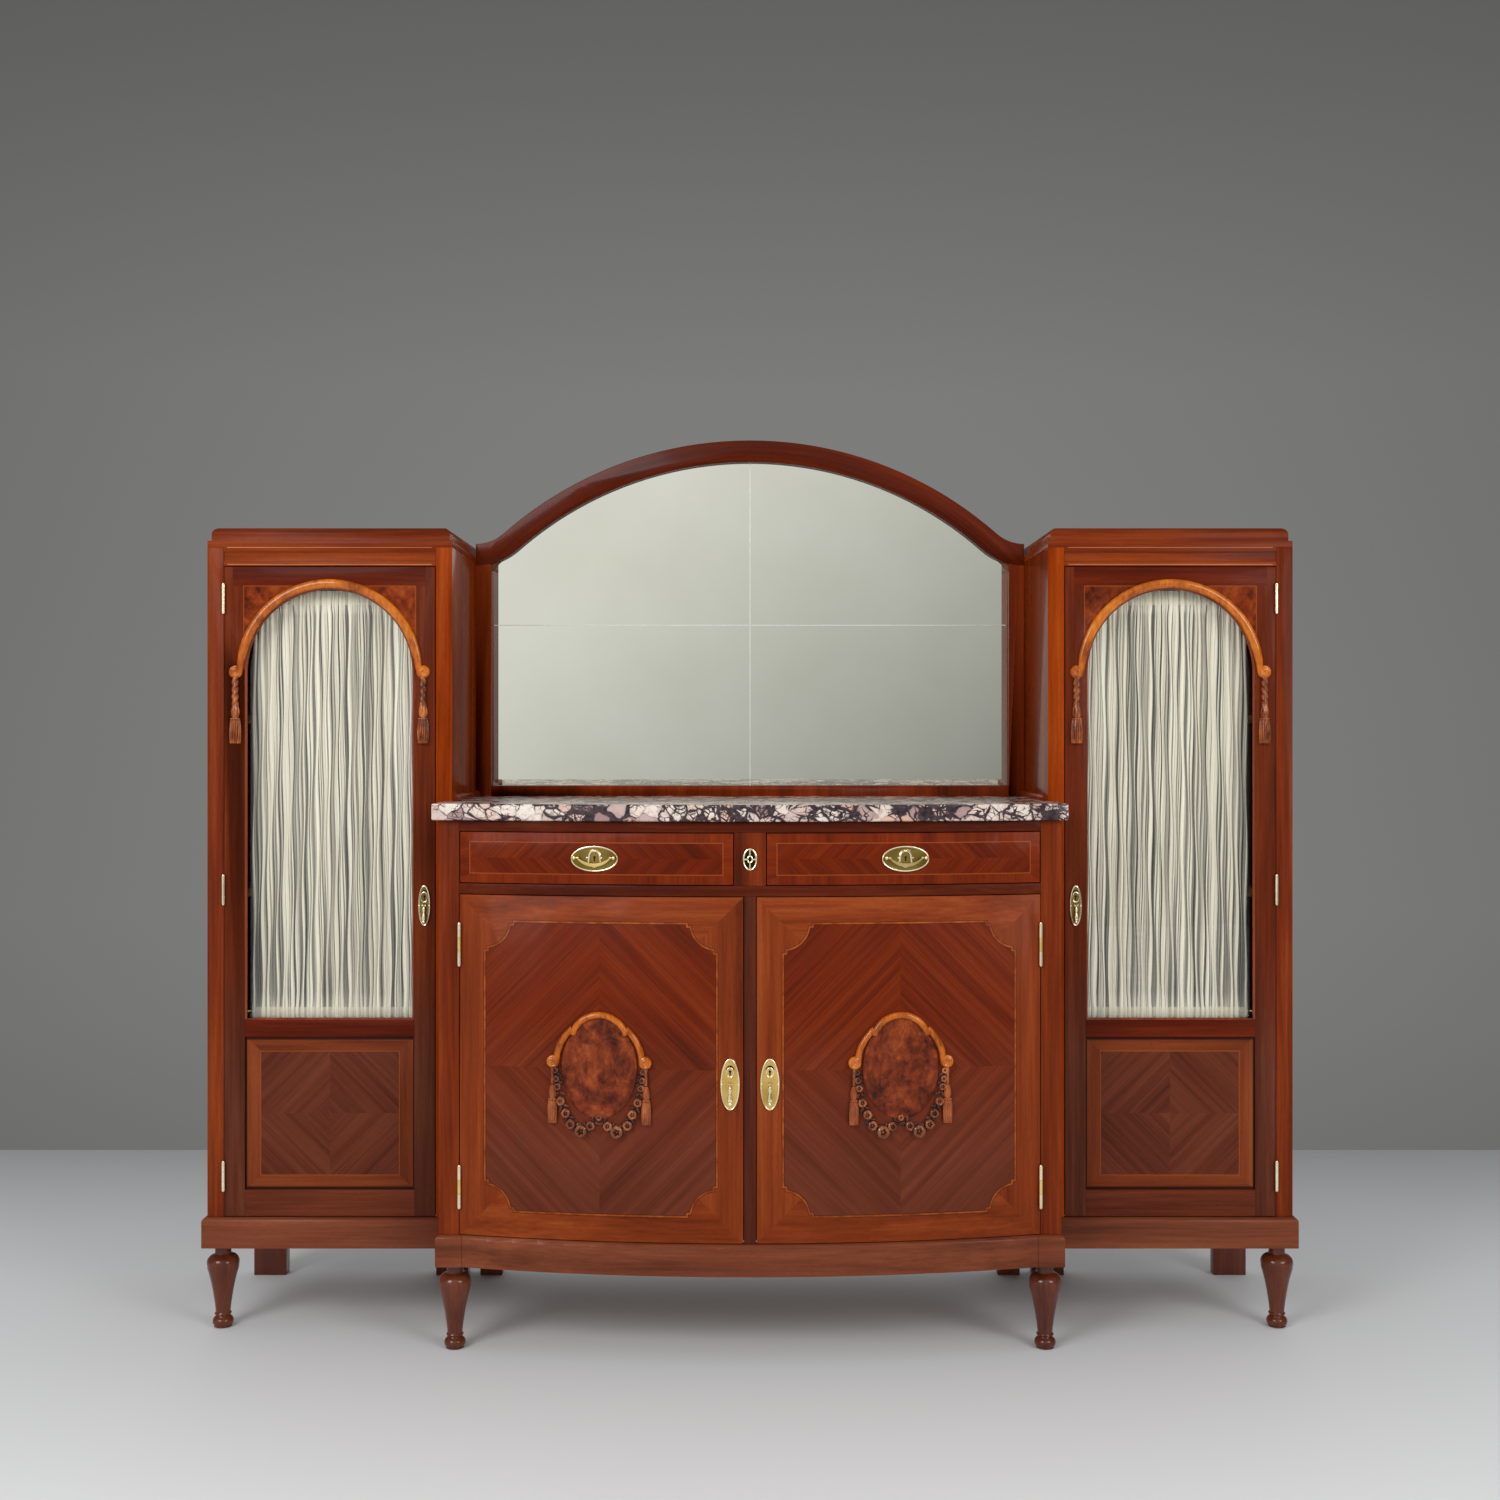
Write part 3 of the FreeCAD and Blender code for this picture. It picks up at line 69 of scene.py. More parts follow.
def srgb(red: float, green: float, blue: float) -> Colour:
    """Turn display values into the scene's linear colour.

    Args:
        red: Red from 0 to 255.
        green: Green from 0 to 255.
        blue: Blue from 0 to 255.

    Returns:
        The linear red, green and blue with an alpha of 1.
    """
    def linear(value: float) -> float:
        """Undo the display curve of one channel."""
        share = value / 255
        return share / 12.92 if share <= 0.04045 else ((share + 0.055) / 1.055) ** 2.4

    return (linear(red), linear(green), linear(blue), 1.0)


def tones(*values: int) -> tuple[Colour, ...]:
    """Colours from dark to light, each given as three display values in a row."""
    return tuple(srgb(*values[start:start + 3]) for start in range(0, len(values), 3))


# Shader nodes


class Expr:
    """A shader value with arithmetic: each operator adds a Math node to the tree."""

    def __init__(self, nodes: "Nodes", socket: bpy.types.NodeSocket) -> None:
        """Keep the tree and the socket that carries the value."""
        self.nodes = nodes
        self.socket = socket

    def math(self, operation: str, *values: "Value", clamp: bool = False) -> "Expr":
        """Add one Math node.

        Args:
            operation: The node's operation.
            values: Its inputs in order.
            clamp: Whether the result is held between 0 and 1.

        Returns:
            The node's result.
        """
        settings = {"operation": operation, "use_clamp": clamp}
        node = self.nodes.add("ShaderNodeMath", settings, dict(enumerate(values)))
        return Expr(self.nodes, node.outputs[0])

    def __add__(self, other: "Value") -> "Expr":
        """Sum."""
        return self.math("ADD", self, other)

    __radd__ = __add__

    def __sub__(self, other: "Value") -> "Expr":
        """Difference."""
        return self.math("SUBTRACT", self, other)

    def __rsub__(self, other: "Value") -> "Expr":
        """Difference from another value."""
        return self.math("SUBTRACT", other, self)

    def __mul__(self, other: "Value") -> "Expr":
        """Product."""
        return self.math("MULTIPLY", self, other)

    __rmul__ = __mul__

    def __abs__(self) -> "Expr":
        """The size of the value."""
        return self.math("ABSOLUTE", self)

    def at_least(self, other: "Value") -> "Expr":
        """The larger of two values."""
        return self.math("MAXIMUM", self, other)

    def at_most(self, other: "Value") -> "Expr":
        """The smaller of two values."""
        return self.math("MINIMUM", self, other)

    def above(self, edge: "Value") -> "Expr":
        """1 where the value is over the edge, else 0."""
        return self.math("GREATER_THAN", self, edge)

    def below(self, edge: "Value") -> "Expr":
        """1 where the value is under the edge, else 0."""
        return self.math("LESS_THAN", self, edge)

    def sign(self) -> "Expr":
        """-1, 0 or 1."""
        return self.math("SIGN", self)

    def sine(self) -> "Expr":
        """The sine of the value in radians."""
        return self.math("SINE", self)

    def length(self, other: "Value") -> "Expr":
        """The root of this value squared plus the other squared."""
        squares = self * self + other * other
        return squares.math("SQRT", squares)

    def angle(self, other: "Value") -> "Expr":
        """The angle whose tangent is this value over the other."""
        return self.math("ARCTAN2", self, other)

    def ramp(self, low: float, high: float) -> "Expr":
        """0 at low, 1 at high, straight between and held beyond."""
        span = high - low
        return self.math("MULTIPLY_ADD", self, 1 / span, -low / span, clamp=True)

    def line(self, middle: float, half: float, soft: float = 0.0004) -> "Expr":
        """1 within half of the middle, falling to 0 over soft."""
        return abs(self - middle).ramp(half + soft, half)


Value = Union[Expr, bpy.types.NodeSocket, float]
Place = tuple[Expr, Expr, Expr]


class Nodes:
    """The node tree of one material or of the world."""

    def __init__(self, owner: Union[bpy.types.Material, bpy.types.World]) -> None:
        """Empty the owner's tree, ready for new nodes."""
        owner.use_nodes = True
        self.tree = owner.node_tree
        self.tree.nodes.clear()

    def add(self, kind: str, settings: Optional[dict] = None,
            inputs: Optional[dict] = None) -> bpy.types.Node:
        """Add a node, set it up, then feed its sockets.

        Args:
            kind: The node's type name.
            settings: Its properties; "stops" is a ramp's list of place and colour.
            inputs: Values or links by socket name or number.

        Returns:
            The new node.
        """
        node = self.tree.nodes.new(kind)
        for key, value in (settings or {}).items():
            if key == "stops":
                marks = node.color_ramp.elements
                while len(marks) < len(value):
                    marks.new(0.5)
                for mark, (place, colour) in zip(marks, value):
                    mark.position = place
                    mark.color = colour
            else:
                setattr(node, key, value)
        for key, value in (inputs or {}).items():
            socket = node.inputs[key]
            if isinstance(value, Expr):
                self.tree.links.new(value.socket, socket)
            elif isinstance(value, bpy.types.NodeSocket):
                self.tree.links.new(value, socket)
            else:
                socket.default_value = value
        return node

    def value(self, node: bpy.types.Node, output: Union[int, str] = 0) -> Expr:
        """One output of a node as an expression."""
        return Expr(self, node.outputs[output])

    def split(self, socket: bpy.types.NodeSocket) -> Place:
        """The three parts of a vector."""
        node = self.add("ShaderNodeSeparateXYZ", {}, {0: socket})
        return tuple(self.value(node, axis) for axis in range(3))

    def place(self) -> Place:
        """The point's x, y and z in metres, in the frame of the whole cabinet."""
        return self.split(self.add("ShaderNodeTexCoord").outputs["Object"])

    def vector(self, x: Value, y: Value, z: Value) -> bpy.types.NodeSocket:
        """Three values as a vector."""
        return self.add("ShaderNodeCombineXYZ", {}, {0: x, 1: y, 2: z}).outputs[0]

    def noise(self, x: Value, y: Value, z: Value, detail: float = 2.0,
              roughness: float = 0.5) -> Expr:
        """Soft random values, most of them between 0.3 and 0.7.

        Args:
            x: First coordinate, in noise cells.
            y: Second coordinate, in noise cells.
            z: Third coordinate, in noise cells.
            detail: How many finer layers are added.
            roughness: How strong the finer layers are.

        Returns:
            The value of the noise.
        """
        inputs = {"Vector": self.vector(x, y, z), "Scale": 1.0, "Detail": detail,
                  "Roughness": roughness, "Distortion": 0.0}
        return self.value(self.add("ShaderNodeTexNoise", {}, inputs))

    def cloud(self, scale: float, detail: float = 2.0, roughness: float = 0.5) -> Expr:
        """Noise with as many cells in a metre as the scale, the same in every direction."""
        x, y, z = self.place()
        return self.noise(x * scale, y * scale, z * scale, detail, roughness)

    def blend(self, share: Value, low: Value, high: Value) -> bpy.types.NodeSocket:
        """Mix two colours by a share from 0 to 1."""
        settings = {"data_type": "RGBA", "blend_type": "MIX", "clamp_factor": True}
        return self.add("ShaderNodeMix", settings, {0: share, 6: low, 7: high}).outputs[2]

    def colours(self, share: Value, stops: list[tuple[float, Colour]]) -> bpy.types.NodeSocket:
        """Colours read from a ramp."""
        return self.add("ShaderNodeValToRGB", {"stops": stops}, {0: share}).outputs[0]

    def bump(self, height: Value, distance: float) -> bpy.types.NodeSocket:
        """A normal tilted by a height of 0 to 1 over a distance in metres."""
        inputs = {"Height": height, "Distance": distance, "Strength": 1.0}
        return self.add("ShaderNodeBump", {}, inputs).outputs[0]

    def surface(self, shader: bpy.types.NodeSocket) -> None:
        """Send a shader to the output."""
        self.add("ShaderNodeOutputMaterial", {}, {"Surface": shader})

    def principled(self, inputs: dict) -> bpy.types.NodeSocket:
        """A Principled shader with the given sockets."""
        return self.add("ShaderNodeBsdfPrincipled", {}, inputs).outputs[0]


class Finish:
    """A finish that makes its material once and hands out the same one after that."""

    made: dict[str, bpy.types.Material] = {}
    name: str

    def shade(self, nodes: Nodes) -> None:
        """Add the finish's nodes."""
        raise NotImplementedError

    def material(self) -> bpy.types.Material:
        """The material of this finish."""
        if self.name not in Finish.made:
            material = bpy.data.materials.new(self.name)
            self.shade(Nodes(material))
            Finish.made[self.name] = material
        return Finish.made[self.name]


# Wood


class Layout(Enum):
    """Which way the grain of a run of veneer points."""

    UPRIGHT = "upright"
    ACROSS = "across"
    DIAMOND = "quartered round a centre"
    ARCHED = "along an arch"


@dataclass(frozen=True)
class Cut:
    """One run of wood: the way of its grain and its colours."""

    layout: Layout
    dark: Colour = srgb(64, 19, 5)
    middle: Colour = srgb(114, 42, 12)
    light: Colour = srgb(152, 67, 22)
    centre: tuple[float, float] = (0.0, 0.0)
    seed: float = 0.0
    ribbon: float = 0.4
    fineness: float = 1.0

    def axes(self, place: Place) -> Place:
        """Turn the cabinet's axes into the wood's.

        A quartered run is folded at its centre, so its lines are where the
        distances sideways and upwards add up to the same number.

        Args:
            place: The point's x, y and z.

        Returns:
            The places along the grain, across it and through it.
        """
        x, y, z = place
        hand = x.sign() * 0.7 + self.seed
        if self.layout is Layout.UPRIGHT:
            return z, x, y + hand
        if self.layout is Layout.ACROSS:
            return x, z, y + self.seed
        if self.layout is Layout.ARCHED:
            rise = z - self.centre[1]
            return x.angle(rise) * 0.7, x.length(rise), y + self.seed
        aside, rise = abs(x) - self.centre[0], z - self.centre[1]
        quarter = hand + aside.sign() * 0.31 + rise.sign() * 0.17
        half = math.sqrt(0.5)
        return (abs(aside) - abs(rise)) * half, (abs(aside) + abs(rise)) * half, quarter

    def tone(self, nodes: Nodes, place: Place) -> tuple[bpy.types.NodeSocket, Expr]:
        """Colour the grain.

        Broad ribbons, streaks and fibres are noises that are long along the
        grain and narrow across it, added by their strengths. Pores are short
        dark dashes.

        Args:
            nodes: The tree to add to.
            place: The point's x, y and z.

        Returns:
            The colour and the height of the fibres.
        """
        along, across, through = self.axes(place)
        across, through = across * self.fineness, through * self.fineness
        ribbon = nodes.noise(along * 1.6, across * 34, through * 34, 2.0)
        cloud = nodes.noise(along * 3.0, across * 7, through * 7, 1.0)
        streak = nodes.noise(along * 7, across * 190, through * 190, 3.0, 0.6)
        fibre = nodes.noise(along * 60, across * 1100, through * 1100, 1.0)
        rest = (1 - self.ribbon) / 3
        share = ribbon * self.ribbon + cloud * rest + streak * rest * 1.3 + fibre * rest * 0.7
        stops = [(0.32, self.dark), (0.5, self.middle), (0.68, self.light)]
        pore = fibre.ramp(0.6, 0.72)
        return nodes.blend(pore * 0.45, nodes.colours(share, stops), self.dark), fibre

    def colour(self, nodes: Nodes, place: Place) -> bpy.types.NodeSocket:
        """The colour of the grain alone."""
        return self.tone(nodes, place)[0]


@dataclass(frozen=True)
class PolishedWood(Finish):
    """French-polished mahogany of one run of grain."""

    name: str
    cut: Cut
    gloss: float = 0.27
    polish: float = 0.06

    def colour(self, nodes: Nodes, place: Place) -> tuple[bpy.types.NodeSocket, Expr]:
        """The wood's colour and fibre height at a place."""
        return self.cut.tone(nodes, place)

    def coat(self, place: Place, rub: Expr) -> Expr:
        """How strong the clear coat is at a place: the rubbing's share of the polish."""
        return rub * self.polish

    def shade(self, nodes: Nodes) -> None:
        """Lay the polish over the colour."""
        place = nodes.place()
        colour, fibre = self.colour(nodes, place)
        rub = nodes.cloud(9, 3.0)
        nodes.surface(nodes.principled({
            "Base Color": colour,
            "Roughness": rub * 0.12 + fibre * 0.08 + self.gloss,
            "Specular IOR Level": self.polish,
            "Coat Weight": self.coat(place, rub),
            "Coat Roughness": 0.08,
            "Normal": nodes.bump(fibre, 0.00006),
        }))


HONEY_LINE = srgb(158, 80, 30)
SPANDREL_TONES = tones(70, 23, 8, 108, 40, 12, 133, 53, 18, 154, 70, 27)
GLAZED_DOOR_MIDDLE = 0.79335
HALF_OPENING = 0.15985
ARCH_SPRING = 1.243
LOWER_PANEL_CENTRE = (GLAZED_DOOR_MIDDLE, 0.4105)
CUPBOARD_DOOR_CENTRE = (0.2701, 0.5255)
DRAWER_CENTRE = (0.27875, 0.9025)


def quartered(centre: tuple[float, float], *values: int, seed: float = 0.0,
              ribbon: float = 0.35) -> Cut:
    """Fine veneer quartered round a centre, its three colours given as display values."""
    return Cut(Layout.DIAMOND, *tones(*values), centre, seed, ribbon, 2.4)


def banded(nodes: Nodes, place: Place, turn: Expr, *values: int, seed: float = 0.0,
           level_in: bool = False) -> bpy.types.NodeSocket:
    """Plain veneer whose grain is upright on one side of a border and level on the other.

    Args:
        nodes: The tree to add to.
        place: The point's x, y and z.
        turn: 1 on the side where the second run lies, else 0.
        values: Display values of its dark, middle and light colour.
        seed: Where in the wood the veneer is cut.
        level_in: Whether the first run is the level one, not the upright one.

    Returns:
        The colour.
    """
    upright = Cut(Layout.UPRIGHT, *tones(*values), seed=seed).colour(nodes, place)
    level = Cut(Layout.ACROSS, *tones(*values), seed=seed).colour(nodes, place)
    return nodes.blend(turn, level, upright) if level_in else nodes.blend(turn, upright, level)


def burr_colour(nodes: Nodes, place: Place,
                burr_tones: tuple[Colour, ...]) -> tuple[bpy.types.NodeSocket, Expr]:
    """Colour burr veneer: clouds bent by a slower noise, with dark flecks over them.

    Args:
        nodes: The tree to add to.
        place: The point's x, y and z.
        burr_tones: Four colours from dark to light.

    Returns:
        The colour and the height of the flecks.
    """
    x, y, z = place
    bend = nodes.cloud(18, 1.0) * 1.6
    cloud = nodes.noise(x * 30 + bend, y * 30, z * 30 + bend, 3.0, 0.55)
    wisp = nodes.noise(x * 90 + bend, y * 90, z * 60 + bend, 4.0, 0.65)
    fleck = nodes.noise(x * 210 + bend, y * 210, z * 210, 2.0, 0.6)
    stops = list(zip((0.36, 0.46, 0.55, 0.64), burr_tones))
    colour = nodes.colours(cloud * 0.55 + wisp * 0.45, stops)
    return nodes.blend(fleck.ramp(0.6, 0.74) * 0.5, colour, burr_tones[0]), fleck


@dataclass(frozen=True)
class GlazedFrameVeneer(PolishedWood):
    """Upright stiles, level rails, and figured corners over the arch inside a light line.

    The colour changes with the height: that of the stiles between the two
    heights of foot_fade, and that of the rails between those of rail_fade.
    """

    line_side: float = 0.1622
    line_top: float = 1.4058
    half_line: float = 0.0007
    foot_fade: tuple[float, float] = (0.72, 0.5)
    rail_fade: tuple[float, float] = (0.5, 0.3)

    def colour(self, nodes: Nodes, place: Place) -> tuple[bpy.types.NodeSocket, Expr]:
        """Pick the run of veneer by its place on the frame."""
        x, _, z = place
        aside = abs(abs(x) - GLAZED_DOOR_MIDDLE)
        stile, fibre = self.cut.tone(nodes, place)
        foot, high_rail, low_rail = (
            Cut(layout, *tones(*values), seed=seed).colour(nodes, place)
            for layout, seed, values in (
                (Layout.UPRIGHT, 1.3, (56, 22, 12, 88, 42, 26, 116, 62, 40)),
                (Layout.ACROSS, 3.1, (52, 12, 2, 90, 26, 5, 122, 42, 10)),
                (Layout.ACROSS, 3.1, (64, 24, 12, 100, 45, 25, 126, 63, 37))))
        stile = nodes.blend(z.ramp(*self.foot_fade), stile, foot)
        rail = nodes.blend(z.ramp(*self.rail_fade), high_rail, low_rail)
        corner = burr_colour(nodes, place, SPANDREL_TONES)[0]
        whole = nodes.blend(aside.below(HALF_OPENING), stile, rail)
        head = aside.below(self.line_side) * z.above(ARCH_SPRING - 0.05)
        above = z.above(self.line_top) * aside.below(self.line_side + 0.02)
        whole = nodes.blend(head * z.below(self.line_top), whole, corner)
        whole = nodes.blend(above, whole, rail)
        reach = z.above(ARCH_SPRING + 0.02) * z.below(self.line_top)
        side = aside.line(self.line_side, self.half_line) * reach
        top = z.line(self.line_top, self.half_line) * aside.below(self.line_side)
        return nodes.blend(side.at_least(top) * 0.6, whole, HONEY_LINE), fibre


@dataclass(frozen=True)
class LinedVeneer(PolishedWood):
    """The veneer of a panel with a light line round its field."""

    centre: tuple[float, float] = (0.0, 0.0)
    half_size: tuple[float, float] = (0.0, 0.0)

    def past_line(self, place: Place) -> tuple[Expr, Expr]:
        """How far a point lies outside the line's sides, and outside its top or foot."""
        x, _, z = place
        return (abs(abs(x) - self.centre[0]) - self.half_size[0],
                abs(z - self.centre[1]) - self.half_size[1])


@dataclass(frozen=True)
class LowerPanelVeneer(LinedVeneer):
    """Quartered veneer inside a straight light line, a plain band, and a painted shadow line at the
    edge.
    """

    centre: tuple[float, float] = LOWER_PANEL_CENTRE
    half_size: tuple[float, float] = (0.131, 0.117)
    groove: tuple[float, float] = (0.0250, 0.0210)

    def colour(self, nodes: Nodes, place: Place) -> tuple[bpy.types.NodeSocket, Expr]:
        """Field, light line, mitred band and dark painted shadow line, by the distance outside the
        line.
        """
        past_side, past_top = self.past_line(place)
        edge = past_side.at_least(past_top)
        field, fibre = self.cut.tone(nodes, place)
        band = banded(nodes, place, past_top.above(past_side), 74, 29, 12, 118, 53, 24, 144, 72, 36)
        whole = nodes.blend(edge.above(0.0), field, band)
        # Painted shadow: a dark line where the panel meets the frame.
        deep = (past_side - self.groove[0]).at_least(past_top - self.groove[1]).ramp(0.0, 0.0010)
        whole = nodes.blend(deep * 0.85, whole, srgb(34, 12, 6))
        return nodes.blend(edge.line(0.0, 0.0007) * 0.55, whole, HONEY_LINE), fibre


@dataclass(frozen=True)
class CupboardDoorVeneer(LinedVeneer):
    """Quartered veneer inside a honey line with hollow corners, and a mitred band round it."""

    centre: tuple[float, float] = CUPBOARD_DOOR_CENTRE
    half_size: tuple[float, float] = (0.211, 0.262)
    shoulder: float = 0.006
    hollow: float = 0.0475

    def outline(self, past_side: Expr, past_top: Expr) -> Expr:
        """Signed distance to the line: over 0 outside it.

        It is the larger of the distance to a rectangle, the depth into a disc
        on its corner, and the depth into a small square step beside the disc.

        Args:
            past_side: Distance outside the rectangle's side.
            past_top: Distance outside its top or foot.

        Returns:
            The distance.
        """
        box = past_side.at_least(past_top)
        disc = self.hollow - past_side.length(past_top)
        reach = self.hollow + self.shoulder
        step = (past_side + reach).at_most(past_top + self.shoulder)
        step = step.at_least((past_top + reach).at_most(past_side + self.shoulder))
        return box.at_least(disc).at_least(step)

    def colour(self, nodes: Nodes, place: Place) -> tuple[bpy.types.NodeSocket, Expr]:
        """Field, honey line with thin dark edges, and band."""
        past_side, past_top = self.past_line(place)
        field, fibre = self.cut.tone(nodes, place)
        lower = quartered(self.centre, 78, 34, 20, 104, 49, 31, 122, 62, 41)
        field = nodes.blend(place[2].ramp(0.62, 0.36), field, lower.colour(nodes, place))
        band = banded(nodes, place, past_top.above(past_side), 84, 30, 10, 130, 54, 20, 160, 78, 34)
        edge = self.outline(past_side, past_top)
        whole = nodes.blend(edge.above(0.0), field, band)
        honey = nodes.colours(nodes.cloud(60, 2.0),
                              [(0.35, srgb(128, 58, 20)), (0.65, srgb(172, 88, 34))])
        whole = nodes.blend(edge.line(0.0, 0.0025) * 0.7, whole, srgb(66, 22, 8))
        return nodes.blend(edge.line(0.0, 0.0013) * 0.85, whole, honey), fibre


@dataclass(frozen=True)
class DrawerVeneer(LinedVeneer):
    """Fine herringbone inside a thin light line, and a cross-laid band round it."""

    centre: tuple[float, float] = DRAWER_CENTRE
    half_size: tuple[float, float] = (0.2305, 0.0285)

    def colour(self, nodes: Nodes, place: Place) -> tuple[bpy.types.NodeSocket, Expr]:
        """Band outside the line, herringbone inside it."""
        past_side, past_top = self.past_line(place)
        edge = past_side.at_least(past_top)
        field, fibre = self.cut.tone(nodes, place)
        band = banded(nodes, place, past_top.above(past_side), 70, 19, 3, 114, 37, 7, 140, 54, 14,
                      seed=2.0, level_in=True)
        whole = nodes.blend(edge.above(0.0), field, band)
        return nodes.blend(edge.line(0.0, 0.0007) * 0.65, whole, HONEY_LINE), fibre


@dataclass(frozen=True)
class NicheVeneer(PolishedWood):
    """The inner sides of the side cabinets: a bright front stile on a darker wall."""

    stile_face: float = -0.0845

    def colour(self, nodes: Nodes, place: Place) -> tuple[bpy.types.NodeSocket, Expr]:
        """Bright veneer on the front face, the wall's own behind it."""
        wall, fibre = self.cut.tone(nodes, place)
        bright = tones(88, 26, 3, 142, 54, 10, 174, 80, 20)
        stile = Cut(Layout.UPRIGHT, *bright, seed=5.2).colour(nodes, place)
        return nodes.blend(place[1].below(self.stile_face), wall, stile), fibre

    def coat(self, place: Place, rub: Expr) -> Expr:
        """A clear coat on the wall, which shows the mirror at a slant, and none on the front."""
        return place[1].above(self.stile_face) * (rub * 0.2 + 0.12)


@dataclass(frozen=True)
class BurrVeneer(PolishedWood):
    """Burr walnut: clouds and small dark eyes in an orange brown."""

    def colour(self, nodes: Nodes, place: Place) -> tuple[bpy.types.NodeSocket, Expr]:
        """Bent clouds with dark flecks."""
        return burr_colour(nodes, place, tones(54, 19, 8, 98, 37, 15, 128, 53, 22, 152, 73, 33))


@dataclass(frozen=True)
class CarvedWood(Finish):
    """Carved and waxed wood, paler where it is rubbed, with painted shade darkening its hollows."""

    name: str
    dark: Colour
    middle: Colour
    light: Colour
    # Share of painted shade laid into the hollows.
    hollows: float = 0.5
    polish: float = 0.28
    coat: float = 0.1

    def shade(self, nodes: Nodes) -> None:
        """Grain along the height, darkened by painted shade where the pointiness of the form shows
        a hollow.
        """
        x, y, z = nodes.place()
        grain = nodes.noise(x * 160, y * 160, z * 45, 3.0, 0.6)
        cloud = nodes.cloud(28, 2.0)
        colour = nodes.colours(grain * 0.5 + cloud * 0.5,
                               [(0.34, self.dark), (0.5, self.middle), (0.66, self.light)])
        # Painted shade: hollows found by the pointiness are blended towards the dark colour.
        form = nodes.value(nodes.add("ShaderNodeNewGeometry"), "Pointiness")
        colour = nodes.blend(form.ramp(0.5, 0.44) * self.hollows, colour, self.dark)
        nodes.surface(nodes.principled({
            "Base Color": colour,
            "Roughness": cloud * 0.12 + 0.2,
            "Specular IOR Level": self.polish,
            "Coat Weight": cloud * 0.4 + self.coat,
            "Coat Roughness": 0.05,
            "Normal": nodes.bump(grain, 0.00008),
        }))


@dataclass(frozen=True)
class PlainWood(Finish):
    """Unpolished inside wood with an open grain."""

    name: str
    cut: Cut

    def shade(self, nodes: Nodes) -> None:
        """Dull grain with open pores."""
        colour, fibre = self.cut.tone(nodes, nodes.place())
        nodes.surface(nodes.principled({
            "Base Color": colour,
            "Roughness": fibre * 0.2 + 0.55,
            "Normal": nodes.bump(fibre, 0.0001),
        }))


# Stone, glass, metal and cloth


@dataclass(frozen=True)
class BrecciaMarble(Finish):
    """Polished breccia: white, cream and pink clasts in a dark violet-grey matrix."""

    name: str = "breccia_marble"

    def shade(self, nodes: Nodes) -> None:
        """Cells of three sizes with dark veins between them, bent so that no edge is straight."""
        x, y, z = nodes.place()
        slow_x = nodes.cloud(14, 2.0) - 0.5
        slow_z = nodes.noise(x * 14 + 7, y * 14, z * 14, 2.0) - 0.5
        fast = nodes.noise(x * 90, y * 90, z * 90 + 3, 3.0, 0.6) - 0.5
        point = nodes.vector(x + slow_x * 0.045 + fast * 0.013, y * 0.8 + slow_z * 0.03,
                             z * 1.2 + slow_z * 0.04 - fast * 0.011)
        kinds = (("F1", 34.0), ("DISTANCE_TO_EDGE", 34.0), ("DISTANCE_TO_EDGE", 78.0),
                 ("DISTANCE_TO_EDGE", 170.0))
        cell, *edges = [nodes.add("ShaderNodeTexVoronoi", {"feature": feature},
                                  {"Vector": point, "Scale": scale}) for feature, scale in kinds]
        rims = [nodes.value(edge) for edge in edges]
        pick, mood, _ = nodes.split(cell.outputs["Color"])
        clast = nodes.colours(pick, [(0.0, srgb(234, 222, 210)), (0.3, srgb(218, 190, 174)),
                                     (0.5, srgb(232, 220, 208)), (0.66, srgb(214, 168, 146)),
                                     (0.8, srgb(220, 200, 188)), (0.93, srgb(176, 146, 142)),
                                     (1.0, srgb(92, 68, 72))])
        mottle = nodes.cloud(120, 4.0, 0.6)
        clast = nodes.blend(mottle.ramp(0.52, 0.72) * 0.45, clast, srgb(150, 112, 112))
        crowd = (nodes.cloud(6, 2.0) + x * 0.07).ramp(0.4, 0.62)
        wide = nodes.cloud(26, 2.0).ramp(0.34, 0.66)
        broad = (wide * 0.11 + crowd * 0.07 - 0.004 - rims[0]).ramp(0.0, 0.03)
        narrow = (wide * 0.14 + crowd * 0.09 - 0.035 - rims[1]).ramp(0.0, 0.035)
        hair = (wide * 0.16 + crowd * 0.11 - 0.09 - rims[2]).ramp(0.0, 0.06)
        vein = broad.at_least(narrow * mood.above(0.12)).at_least(hair * mood.above(0.3) * 0.95)
        halo = (wide * 0.1 + crowd * 0.12 + 0.1 - rims[0]).ramp(0.0, 0.2) * 0.45
        clast = nodes.blend(halo, clast, srgb(146, 110, 112))
        matrix = nodes.colours(mottle, [(0.35, srgb(36, 28, 31)), (0.65, srgb(76, 60, 64))])
        wear = nodes.cloud(6, 2.0)
        nodes.surface(nodes.principled({
            "Base Color": nodes.blend(vein, clast, matrix),
            "Roughness": wear * 0.14 + 0.14,
            "Specular IOR Level": 0.35,
            "Normal": nodes.bump(vein, 0.00005),
        }))


@dataclass(frozen=True)
class SilveredGlass(Finish):
    """Old silvered mirror, a little green, duller in faint clouds."""

    name: str = "silvered_glass"

    def shade(self, nodes: Nodes) -> None:
        """Metal with a faint haze."""
        haze = nodes.cloud(5, 3.0)
        colour = nodes.colours(haze, [(0.3, srgb(230, 231, 220)), (0.7, srgb(236, 237, 228))])
        nodes.surface(nodes.principled({
            "Base Color": colour,
            "Metallic": 1.0,
            "Roughness": haze.ramp(0.4, 0.9) * 0.03 + 0.012,
        }))


